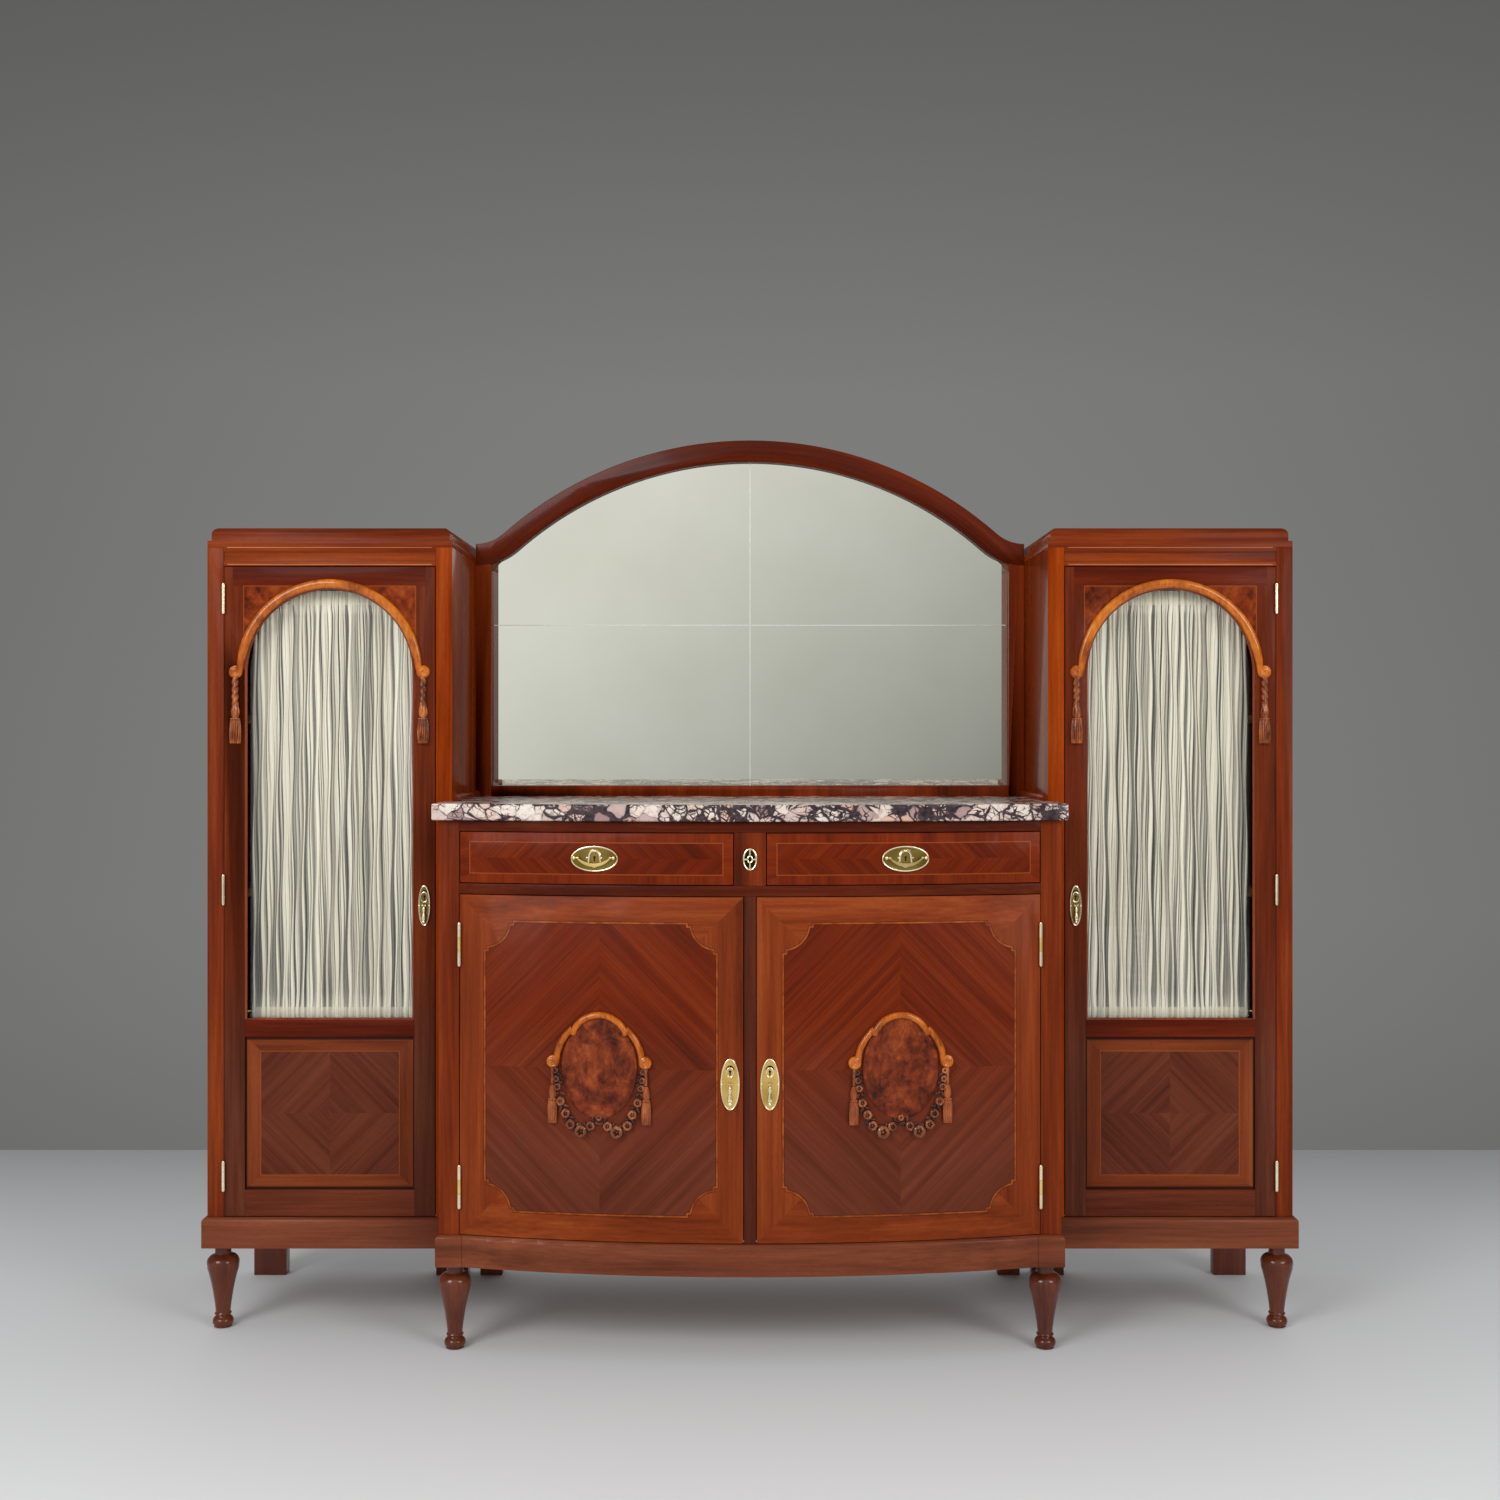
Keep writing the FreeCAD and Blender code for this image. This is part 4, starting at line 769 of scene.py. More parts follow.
@dataclass(frozen=True)
class WindowGlass(Finish):
    """Thin clear glass: mostly seen through, with a mirror-like share at a slant."""

    name: str = "window_glass"

    def shade(self, nodes: Nodes) -> None:
        """Mix a clear and a glossy shader, whose share grows with the fifth power of the slant."""
        x, y, z = nodes.place()
        ripple = nodes.noise(x * 7, y * 7, z * 5, 1.0)
        normal = nodes.bump(ripple, 0.0006)
        clear = nodes.add("ShaderNodeBsdfTransparent", {}, {"Color": srgb(253, 254, 252)})
        gloss = nodes.add("ShaderNodeBsdfGlossy", {}, {"Roughness": 0.02, "Normal": normal})
        slant = nodes.value(nodes.add("ShaderNodeLayerWeight"), "Facing")
        share = slant.math("POWER", slant, 5.0) * 0.96 + 0.035
        shaders = {0: share, 1: clear.outputs[0], 2: gloss.outputs[0]}
        mix = nodes.add("ShaderNodeMixShader", {}, shaders)
        nodes.surface(mix.outputs[0])


@dataclass(frozen=True)
class SheerCloth(Finish):
    """Sheer gathered voile: pale on the pleats, thinner between them, and greyed there by painted
    shade.
    """

    name: str = "sheer_cloth"

    def shade(self, nodes: Nodes) -> None:
        """Paint shade into the valleys by their depth and along creases read from the cloth's own
        map; warp and weft are a fine woven grid.
        """
        u, v, _ = nodes.split(nodes.add("ShaderNodeUVMap", {"uv_map": "cloth"}).outputs[0])
        _, depth, height = nodes.place()
        # Painted shade: the further back a point lies in a valley, the greyer it is.
        fold_shade = depth.ramp(-0.0475, -0.0525)
        warp = (u * 5200.0).sine() * 0.5 + 0.5
        weft = (v * 4200.0).sine() * 0.5 + 0.5
        zone = nodes.noise(u * 12, v * 0.15, 8.0, 1.0).ramp(0.3, 0.7)
        broad = nodes.noise(u * 38, v * 0.18, 3.0, 1.0).ramp(0.36, 0.64)
        fine = nodes.noise(u * 150, v * 0.35, 0.0, 1.0).ramp(0.34, 0.66)
        # Painted shade: thin dark lines along the creases.
        crease_shade = nodes.noise(u * 34, v * 0.12, 5.0, 1.0).line(0.5, 0.006, 0.03)
        shade = zone * 0.18 + broad * 0.36 + fine * 0.22 + fold_shade * 0.22 - crease_shade * 0.36
        # The dark end of this ramp carries the painted shade of the valleys and creases.
        colour = nodes.colours(shade, [(0.06, srgb(80, 78, 76)), (0.28, srgb(162, 155, 146)),
                                       (0.44, srgb(238, 228, 213)), (0.68, srgb(255, 248, 235))])
        hem = height.line(1.386, 0.012, 0.003).at_least(height.line(0.596, 0.009, 0.002))
        colour = nodes.blend(hem * 0.5, colour, srgb(240, 232, 210))
        nodes.surface(nodes.principled({
            "Base Color": colour,
            "Roughness": warp * 0.05 + 0.85,
            "Specular IOR Level": 0.1,
            "Alpha": shade.ramp(0.05, 0.5) * 0.14 + warp * weft * 0.03 + hem * 0.1 + 0.84,
            "Normal": nodes.bump(warp + weft, 0.00005),
        }))


@dataclass(frozen=True)
class Metal(Finish):
    """Polished metal with faint rubbing and tarnish."""

    name: str
    bright: Colour
    dull: Colour
    gloss: float = 0.2

    def shade(self, nodes: Nodes) -> None:
        """Metal that dulls in clouds and where its form is hollow."""
        x, y, z = nodes.place()
        cloud = nodes.cloud(22, 2.0)
        rub = nodes.noise(x * 400, y * 400, z * 120, 2.0)
        form = nodes.value(nodes.add("ShaderNodeNewGeometry"), "Pointiness").ramp(0.5, 0.42)
        colour = nodes.colours(cloud, [(0.2, self.dull), (0.75, self.bright)])
        colour = nodes.blend(form * 0.5, colour, self.dull)
        nodes.surface(nodes.principled({
            "Base Color": colour,
            "Metallic": 1.0,
            "Roughness": cloud * 0.15 + rub * 0.08 + self.gloss,
            "Normal": nodes.bump(rub, 0.00003),
        }))


@dataclass(frozen=True)
class GroundEdge(Finish):
    """The ground edge of a pane, pale and matt."""

    name: str = "ground_edge"

    def shade(self, nodes: Nodes) -> None:
        """Pale grey-green with fine specks."""
        speck = nodes.cloud(300, 2.0)
        colour = nodes.colours(speck, [(0.3, srgb(214, 220, 210)), (0.7, srgb(240, 243, 236))])
        nodes.surface(nodes.principled({"Base Color": colour, "Roughness": speck * 0.2 + 0.35}))


@dataclass(frozen=True)
class StudioFloor(Finish):
    """Plain pale floor, with painted shade making it a little darker towards the wall."""

    name: str = "studio_floor"

    def shade(self, nodes: Nodes) -> None:
        """Smooth grey whose painted shade deepens with the distance to the wall."""
        x, y, z = nodes.place()
        cloud = nodes.noise(x * 0.8, y * 0.8, z, 2.0)
        # Painted shade: the colour darkens towards the wall.
        near = y.ramp(1.3, -0.9) * 0.93 + cloud * 0.07
        colour = nodes.colours(near, [(0.0, srgb(160, 161, 161)), (0.35, srgb(200, 201, 201)),
                                      (1.0, srgb(234, 235, 235))])
        nodes.surface(nodes.principled({"Base Color": colour, "Roughness": cloud * 0.1 + 0.5,
                                        "Specular IOR Level": 0.2}))


# Meshes


Measure = Union[float, np.ndarray]


def points_of(x: Measure, y: Measure, z: Measure) -> np.ndarray:
    """Points from their x, y and z, each of which may be one number for all of them."""
    return np.stack(np.broadcast_arrays(x, y, z), -1).astype(float)


class Side(Enum):
    """A side of the cabinet as seen from the front, with its sign in x."""

    RIGHT = 1
    LEFT = -1

    @property
    def word(self) -> str:
        """The side's name at the start of a node's name."""
        return self.name.lower()


@dataclass
class Shape:
    """Points and four-cornered faces, worked out as arrays."""

    points: np.ndarray
    faces: np.ndarray
    cloth: Optional[np.ndarray] = None

    @staticmethod
    def grid(points: np.ndarray, wrap: bool = False) -> "Shape":
        """Join a grid of points with faces.

        Args:
            points: Rows by columns by 3.
            wrap: Whether the last column joins the first.

        Returns:
            The surface.
        """
        rows, columns = points.shape[:2]
        row, column = np.meshgrid(np.arange(rows - 1), np.arange(columns if wrap else columns - 1),
                                  indexing="ij")
        after = (column + 1) % columns
        faces = np.stack([row * columns + column, row * columns + after,
                          (row + 1) * columns + after, (row + 1) * columns + column], -1)
        return Shape(points.reshape(-1, 3).astype(float), faces.reshape(-1, 4))

    @staticmethod
    def union(shapes: list["Shape"]) -> "Shape":
        """Several shapes as one, not welded."""
        starts = np.cumsum([0] + [len(shape.points) for shape in shapes[:-1]])
        faces = [shape.faces + start for shape, start in zip(shapes, starts)]
        return Shape(np.concatenate([shape.points for shape in shapes]), np.concatenate(faces))

    def copies(self, places: np.ndarray, sizes: np.ndarray) -> "Shape":
        """The shape at many places, each with its own size.

        Args:
            places: Places, one row each.
            sizes: A size for each place.

        Returns:
            All the copies as one shape.
        """
        count, each = len(places), len(self.points)
        points = self.points[None] * np.asarray(sizes).reshape(count, 1, 1) + places[:, None]
        faces = self.faces[None] + (np.arange(count) * each).reshape(count, 1, 1)
        return Shape(points.reshape(-1, 3), faces.reshape(-1, 4))

    def moved(self, x: float, y: float, z: float) -> "Shape":
        """The shape pushed along."""
        return Shape(self.points + np.array([x, y, z]), self.faces, self.cloth)

    def scaled(self, x: float, y: float, z: float) -> "Shape":
        """The shape stretched about the origin."""
        return Shape(self.points * np.array([x, y, z]), self.faces, self.cloth)

    def turned(self, angle: float) -> "Shape":
        """The shape turned about the upright axis, x towards y."""
        c, s = math.cos(angle), math.sin(angle)
        turn = np.array([[c, s, 0], [-s, c, 0], [0, 0, 1]])
        return Shape(self.points @ turn, self.faces, self.cloth)

    def tilted(self, angle: float) -> "Shape":
        """The shape turned in the plane of the front, x towards z."""
        c, s = math.cos(angle), math.sin(angle)
        turn = np.array([[c, 0, s], [0, 1, 0], [-s, 0, c]])
        return Shape(self.points @ turn, self.faces, self.cloth)

    def mirrored(self, side: Side = Side.LEFT) -> "Shape":
        """The shape on the other side, with its faces turned back outwards."""
        if side is Side.RIGHT:
            return self
        return Shape(self.points * np.array([-1, 1, 1]), self.faces[:, ::-1], self.cloth)


def tube(path: np.ndarray, radius: Measure, sides: int = 12,
         flat: float = 1.0, strands: int = 0, twist: float = 0.0) -> Shape:
    """Carry a ring along a path in the plane of the front.

    At each point the ring lies across the path: its width follows the turned
    tangent and its depth is y. With strands, the ring is pinched between them
    by a cosine that turns as it goes, as in a twisted rope. The ends run to
    their middle points.

    Args:
        path: The middle line, one row of x, y and z for each point.
        radius: The ring's radius, one number or one for each point.
        sides: Corners of the ring.
        flat: The ring's depth as a share of its width.
        strands: Number of strands of a rope, or 0 for a round tube.
        twist: Turns of the strands from end to end.

    Returns:
        The closed tube.
    """
    count = len(path)
    run = np.gradient(path, axis=0)
    run /= np.linalg.norm(run, axis=1, keepdims=True)
    wide = points_of(-run[:, 2], 0.0, run[:, 0])
    angle = np.linspace(0, TURN, sides, endpoint=False)
    reach = np.broadcast_to(np.asarray(radius, float), (count,))[:, None]
    if strands:
        phase = twist * TURN * np.linspace(0, 1, count)[:, None]
        reach = reach * (0.62 + 0.38 * np.abs(np.cos(strands * (angle[None] - phase) / 2)))
    else:
        reach = reach * np.ones((1, sides))
    across = np.cos(angle)[None, :, None] * wide[:, None]
    deep = flat * np.sin(angle)[None, :, None] * np.array([0, 1, 0])
    rings = path[:, None] + reach[..., None] * (across + deep)
    first = np.repeat(path[:1, None], sides, 1)
    last = np.repeat(path[-1:, None], sides, 1)
    return Shape.grid(np.concatenate([first, rings, last]), True)


def lathe(profile: np.ndarray, sides: int = 32, lobes: int = 0,
          depth: Measure = 0.0, slant: float = 0.0) -> Shape:
    """Turn a profile about the upright axis.

    With lobes, the radius is pinched by the given depth times a cosine of the
    angle, which may slant with the height, as on a petalled bell or a fringe.

    Args:
        profile: Radius and height of each ring, from the bottom up.
        sides: Corners of a ring.
        lobes: Number of lobes round it.
        depth: Depth of the lobes as a share of the radius, one or for each ring.
        slant: Turns of the lobes from the bottom to the top.

    Returns:
        The closed turning.
    """
    radius, height = np.asarray(profile, float).T
    rings = len(radius)
    angle = np.linspace(0, TURN, sides, endpoint=False)[None]
    turn = slant * TURN * np.linspace(0, 1, rings)[:, None]
    pinch = 1 - np.broadcast_to(np.asarray(depth, float), (rings,))[:, None] * (
        0.5 - 0.5 * np.cos(lobes * (angle + turn)))
    reach = radius[:, None] * pinch
    points = points_of(reach * np.cos(angle), reach * np.sin(angle), height[:, None])
    ends = [np.repeat(np.array([[[0, 0, height[end]]]]), sides, 1) for end in (0, -1)]
    return Shape.grid(np.concatenate([ends[0], points, ends[1]]), True)


def arc(centre: tuple[float, float], radius: float, start: float, end: float,
        count: int) -> np.ndarray:
    """Points of radius and height on an arc, angles in degrees from the level outward line."""
    angle = np.radians(np.linspace(start, end, count))
    return np.stack([centre[0] + radius * np.cos(angle), centre[1] + radius * np.sin(angle)], 1)


def ball(rings: int = 5, sides: int = 8) -> Shape:
    """A small ball of radius 1."""
    angle = np.linspace(-90, 90, rings + 2)[1:-1]
    return lathe(np.stack([np.cos(np.radians(angle)), np.sin(np.radians(angle))], 1), sides)


def upright_to_front(shape: Shape) -> Shape:
    """Lay a turning on its back, so that its top faces the front."""
    x, y, z = shape.points.T
    return Shape(points_of(x, -z, y), shape.faces)


def rose_rim(petals: int = 5, steps: int = 30, sides: int = 9) -> Shape:
    """The rim of petals of a carved rose of radius 1 that faces the front.

    It is a ring whose distance from the middle is 0.64 plus a petals' cosine,
    and whose own radius is 0.3 less a little of the same cosine.

    Args:
        petals: Number of petals.
        steps: Steps round the rose.
        sides: Corners of the ring's section.

    Returns:
        The closed ring with a small bud in the middle.
    """
    way = np.linspace(0, TURN, steps + 1)[:, None]
    round_it = np.linspace(0, TURN, sides, endpoint=False)[None]
    wave = np.cos(petals * way)
    thick = 0.30 - 0.05 * wave
    reach = 0.64 + 0.06 * wave + thick * np.cos(round_it)
    deep = -0.42 + thick * 1.15 * np.sin(round_it) - 0.05 * wave
    points = points_of(reach * np.cos(way), deep, reach * np.sin(way))
    bud = ball(4, 8).scaled(0.17, 0.17, 0.17).moved(0, -0.3, 0)
    return Shape.union([Shape.grid(points, True), bud])


def leaf(rings: int = 7, sides: int = 12) -> Shape:
    """A carved leaf of length 2 along x, ridged along its middle, its back at y = 0."""
    along = np.linspace(-1, 1, rings)[:, None]
    angle = np.linspace(0, TURN, sides, endpoint=False)[None]
    wide = 0.42 * np.sqrt(np.clip(1 - along ** 2, 0, 1))
    across = wide * np.cos(angle)
    high = wide * (np.abs(np.sin(angle)) * 0.6 + 0.25 * (np.sin(angle) > 0.5))
    deep = -np.where(np.sin(angle) > 0, high, -0.1 * wide)
    return Shape.grid(points_of(along, deep, across), True)


@dataclass
class Workshop:
    """Turns shapes and CAD nodes into finished pieces.

    Edges that turn by more than smooth stay sharp. Points nearer than weld
    become one, edges shorter than speck go, and faces that turn by less than
    level are joined. Edges that turn by more than corner can be eased; eased
    and eased_panel are the widths of that.
    """

    smooth: float = math.radians(35)
    weld: float = 0.000002
    speck: float = 0.0000005
    level: float = math.radians(0.05)
    corner: float = math.radians(30)
    eased: float = 0.0008
    eased_panel: float = 0.0006
    clamped: tuple[str, ...] = ("marble_top", "cupboard_plinth")
    pieces: list[bpy.types.Object] = field(default_factory=list)

    def finish_piece(self, name: str, mesh: bpy.types.Mesh, finish: Finish, body: str,
                     stands_for: tuple[str, ...]) -> bpy.types.Object:
        """Put a mesh in the scene as a piece.

        Args:
            name: The piece's name.
            mesh: Its mesh, in the cabinet's frame.
            finish: Its finish.
            body: The body it rides on.
            stands_for: CAD nodes that it replaces.

        Returns:
            The object.
        """
        mesh.materials.clear()
        mesh.materials.append(finish.material())
        piece = bpy.data.objects.new(name, mesh)
        bpy.context.scene.collection.objects.link(piece)
        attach(piece, body)
        if stands_for:
            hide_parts(*stands_for)
        self.pieces.append(piece)
        LOG.info("%s: %d faces on %s", name, len(mesh.polygons), body)
        return piece

    def carry(self, node: str, finish: Finish, bevel: float = 0.0) -> bpy.types.Object:
        """Copy a CAD node, weld it, join its flat triangles and ease its edges.

        Args:
            node: The CAD node.
            finish: The finish of the copy.
            bevel: Width of the eased edges in metres, or 0 for sharp ones.

        Returns:
            The copy, which stands for the node.
        """
        source = frame["nodes"][node]
        mesh = source.data.copy()
        mesh.name = f"{node}_dressed"
        work = bmesh.new()
        work.from_mesh(mesh)
        bmesh.ops.remove_doubles(work, verts=work.verts, dist=self.weld)
        bmesh.ops.dissolve_limit(work, angle_limit=self.level, verts=work.verts,
                                 edges=work.edges, use_dissolve_boundaries=False)
        self.write_smooth(work, mesh, bool(bevel))
        piece = self.finish_piece(mesh.name, mesh, finish, source["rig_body"], (node,))
        if bevel:
            ease = piece.modifiers.new("eased_edges", "BEVEL")
            ease.width = bevel
            ease.segments = 2
            ease.limit_method = "ANGLE"
            ease.angle_limit = self.corner
            ease.harden_normals = True
            ease.use_clamp_overlap = node in self.clamped
        return piece

    def make(self, name: str, shape: Shape, finish: Finish, body: str,
             stands_for: tuple[str, ...] = (), open_sheet: bool = False) -> bpy.types.Object:
        """Make a piece of a worked-out shape.

        Args:
            name: The piece's name.
            shape: Its points and faces.
            finish: Its finish.
            body: The body it rides on.
            stands_for: CAD nodes that it replaces.
            open_sheet: Whether it is cloth, which keeps its map and open edges.

        Returns:
            The piece.
        """
        mesh = bpy.data.meshes.new(name)
        mesh.from_pydata(shape.points.tolist(), [], shape.faces.tolist())
        if shape.cloth is not None:
            corners = np.zeros(len(mesh.loops), dtype=np.int32)
            mesh.loops.foreach_get("vertex_index", corners)
            mesh.uv_layers.new(name="cloth").data.foreach_set("uv", shape.cloth[corners].ravel())
        work = bmesh.new()
        work.from_mesh(mesh)
        if not open_sheet:
            bmesh.ops.remove_doubles(work, verts=work.verts, dist=self.weld)
            bmesh.ops.dissolve_degenerate(work, edges=work.edges, dist=self.speck)
            bmesh.ops.recalc_face_normals(work, faces=work.faces)
        self.write_smooth(work, mesh, open_sheet)
        return self.finish_piece(name, mesh, finish, body, stands_for)

    def write_smooth(self, work: bmesh.types.BMesh, mesh: bpy.types.Mesh,
                     every_edge: bool) -> None:
        """Smooth the faces and the edges, every one or only the blunt ones, and write the mesh."""
        for face in work.faces:
            face.smooth = True
        for edge in work.edges:
            edge.smooth = every_edge or edge.calc_face_angle(0.0) < self.smooth
        work.to_mesh(mesh)
        work.free()

    @staticmethod
    def slots() -> dict[str, str]:
        """The material slot of each CAD node, from the record."""
        return {part["node"]: part["material_slot"] for part in frame["record"]["subparts"]}


# The cabinet's finishes


def polished(name: str, layout: Layout, *values: int, gloss: float = 0.27, polish: float = 0.06,
             centre: tuple[float, float] = (0.0, 0.0)) -> PolishedWood:
    """Polished wood of one run, its dark, middle and light colours given as display values."""
    return PolishedWood(name, Cut(layout, *tones(*values), centre), gloss, polish)


UPRIGHT = PolishedWood("mahogany_upright", Cut(Layout.UPRIGHT))
ACROSS = PolishedWood("mahogany_across", Cut(Layout.ACROSS))
PLINTH = polished("mahogany_plinth", Layout.ACROSS, 72, 32, 16, 114, 57, 34, 142, 77, 48,
                  gloss=0.24, polish=0.12)
ARCH_WOOD = polished("mahogany_arch", Layout.ARCHED, 48, 11, 1, 84, 24, 3, 114, 40, 8,
                     gloss=0.14, polish=0.09, centre=(0.0, 0.964))
FRAME_WOOD = polished("mahogany_mirror_frame", Layout.UPRIGHT, 72, 22, 6, 114, 40, 11, 146, 61, 22,
                      gloss=0.16, polish=0.03)
POST = polished("mahogany_post", Layout.UPRIGHT, 48, 18, 9, 84, 36, 22, 106, 50, 32)
FRIEZE = polished("mahogany_frieze", Layout.ACROSS, 50, 14, 4, 84, 29, 10, 112, 46, 20)
TURNED = polished("mahogany_turned", Layout.UPRIGHT, 58, 22, 10, 96, 44, 24, 124, 64, 38,
                  gloss=0.03, polish=0.3)
BEAD = polished("mahogany_bead", Layout.UPRIGHT, 70, 24, 8, 118, 48, 18, 150, 72, 30,
                gloss=0.16, polish=0.3)
# Pale wood for the thin beads on the rails' edges: a painted highlight.
PAINTED_EDGE_HIGHLIGHT = polished("painted_edge_highlight", Layout.ACROSS, 140, 66, 28, 178, 98, 52, 204, 130, 84,
                     gloss=0.16, polish=0.3)
NICHE = NicheVeneer(
    "mahogany_niche", Cut(Layout.UPRIGHT, *tones(64, 19, 3, 112, 41, 9, 142, 62, 19)), 0.16, 0.015)
FRAME_VENEER = GlazedFrameVeneer(
    "glazed_frame_veneer",
    Cut(Layout.UPRIGHT, *tones(54, 16, 5, 100, 37, 12, 136, 60, 22), seed=1.3))
PANEL_VENEER = LowerPanelVeneer(
    "lower_panel_veneer",
    quartered(LOWER_PANEL_CENTRE, 60, 24, 13, 96, 45, 28, 118, 62, 40, seed=0.4))
DOOR_VENEER = CupboardDoorVeneer(
    "cupboard_door_veneer", quartered(CUPBOARD_DOOR_CENTRE, 66, 18, 4, 106, 34, 9, 132, 52, 17))
DRAWER_VENEER = DrawerVeneer(
    "drawer_veneer", quartered(DRAWER_CENTRE, 64, 15, 2, 102, 30, 5, 128, 48, 11, ribbon=0.3))
BURR = BurrVeneer("burr_veneer", Cut(Layout.UPRIGHT), 0.24, 0.12)
HONEY = CarvedWood("honey_carving", *tones(128, 56, 4, 186, 94, 12, 212, 122, 26), 0.6, 0.06, 0.5)
TASSEL_PALE = CarvedWood("pale_tassel_carving", *tones(88, 36, 10, 150, 70, 20, 182, 98, 36), 0.7)
TASSEL = CarvedWood("tassel_carving", *tones(44, 14, 3, 140, 66, 20, 200, 118, 52), 1.0, 0.2, 0.4)
ROSE_RIMS = CarvedWood("rose_rims", *tones(50, 20, 8, 118, 58, 28, 188, 114, 66), 0.9, 0.2, 0.5)
# Dark carving for the garland's leaves and for the discs of painted shade under its roses.
HOLLOW_SHADE_CARVING = CarvedWood("dark_carving", *tones(22, 8, 3, 62, 28, 14, 112, 60, 32), 0.9)
INSIDE = PlainWood(
    "inside_wood", Cut(Layout.ACROSS, *tones(96, 62, 38, 140, 98, 64, 172, 128, 88)))
LINING = PlainWood(
    "drawer_lining", Cut(Layout.ACROSS, *tones(150, 116, 78, 186, 152, 108, 208, 178, 136)))
BRASS = Metal("polished_brass", srgb(252, 224, 150), srgb(222, 186, 108), 0.1)
PALE_BRASS = Metal("pale_brass", srgb(255, 244, 214), srgb(226, 208, 164), 0.12)
# Dark olive brass for the recesses of the side lock and drawer plates: an old brass tone darkened
# by painted shade.
SHADED_OLD_BRASS = Metal("old_brass_with_painted_shade", srgb(150, 128, 66), srgb(96, 78, 34), 0.22)
# Darker gold for the cupboard plates' recess: painted shade, so that the drop and rim stand out.
SHADED_GOLD_RECESS = Metal("shaded_gold_recess", srgb(240, 206, 124), srgb(196, 160, 84), 0.22)
# Near-black metal for painted shade: keyholes, the hollow over a keyhole's ring, the pierced
# plate's ground.
RECESS_SHADE = Metal("dark_recess", srgb(60, 46, 28), srgb(24, 18, 12), 0.4)
STEEL = Metal("bolt_steel", srgb(190, 188, 184), srgb(120, 116, 110), 0.28)
MARBLE = BrecciaMarble()
MIRROR = SilveredGlass()
GLASS = WindowGlass()
SHEER = SheerCloth()


# Sub-assemblies


@dataclass
class OvalPlate:
    """What shows on an oval brass plate: its rim, its recess and the ring round its keyhole.

    The half sizes are sideways and upwards, and the turn is the bow's at the
    plate. The keyhole is given by its height over the centre.
    """

    name: str
    body: str
    centre: tuple[float, float, float]
    half: tuple[float, float]
    recess: Finish
    turn: float = 0.0
    rim: float = 0.0012
    keyhole: float = 0.0
    ring: tuple[float, float] = (0.0, 0.0)

    @staticmethod
    def oval(half: tuple[float, float], radius: float, height: float, rise: float = 0.0) -> Shape:
        """A round bar along an oval, standing a height before the door."""
        angle = np.linspace(0, TURN, 61)
        path = points_of(half[0] * np.cos(angle), -height, half[1] * np.sin(angle) + rise)
        return tube(path, radius, 8)

    def floor(self) -> Shape:
        """The dished recess inside the rim: an oval disc, hollow in its middle."""
        share = np.array([1.0, 0.9, 0.6, 0.3, 0.04])
        rise = np.array([0.00225, 0.00222, 0.00212, 0.00207, 0.00205])
        disc = upright_to_front(lathe(np.stack([share, rise], 1), 48))
        return disc.scaled(self.half[0] - self.rim, 1.0, self.half[1] - self.rim)

    def keyhole_shape(self) -> Shape:
        """A keyhole painted dark over a slot, as a thin raised patch, and painted shade in the
        hollow over its ring.
        """
        profile = np.array([[0.0023, 0.0020], [0.0023, 0.0026], [0.0002, 0.0026]])
        hole = upright_to_front(lathe(profile, 16))
        slot = np.array([[0.0, -0.0022, -0.0015], [0.0, -0.0022, -0.0070]])
        parts = [hole, tube(slot, 0.0013, 6, 0.6)]
        if self.ring[0]:
            # Painted shade: a dark crescent in the hollow over the ring.
            angle = np.radians(np.linspace(158, 22, 25))
            wide, high = self.ring[0] + 0.0026, self.ring[1] + 0.0022
            hollow = points_of(wide * np.cos(angle), -0.0022, high * np.sin(angle) - 0.0015)
            parts.append(tube(hollow, 0.0003 + 0.0015 * np.sin(np.linspace(0, np.pi, 25)), 8, 0.4))
        return Shape.union(parts).moved(0, 0, self.keyhole)

    def ornament(self) -> Shape:
        """The ring round the keyhole and a nib at each end of the short axis."""
        nib = ball(4, 8).scaled(0.0016, 0.0014, 0.0016)
        parts = [nib.moved(hand * (self.half[0] - 0.0012), -0.0026, 0) for hand in (-1, 1)]
        if self.ring[0]:
            parts.append(self.oval(self.ring, 0.0011, 0.0026, self.keyhole - 0.0015))
        return Shape.union(parts)

    def build(self, shop: Workshop, side: Side) -> None:
        """Lay the rim, the recess, the ornament and the keyhole on the plate."""
        rim = Shape.union([self.oval(self.half, self.rim, 0.0022), self.ornament()])
        pieces = {"rim": (rim, PALE_BRASS), "recess": (self.floor(), self.recess),
                  "keyhole": (self.keyhole_shape(), RECESS_SHADE)}
        for part, (shape, finish) in pieces.items():
            placed = shape.turned(self.turn).moved(*self.centre).mirrored(side)
            shop.make(f"{self.name}_{part}", placed, finish, self.body)


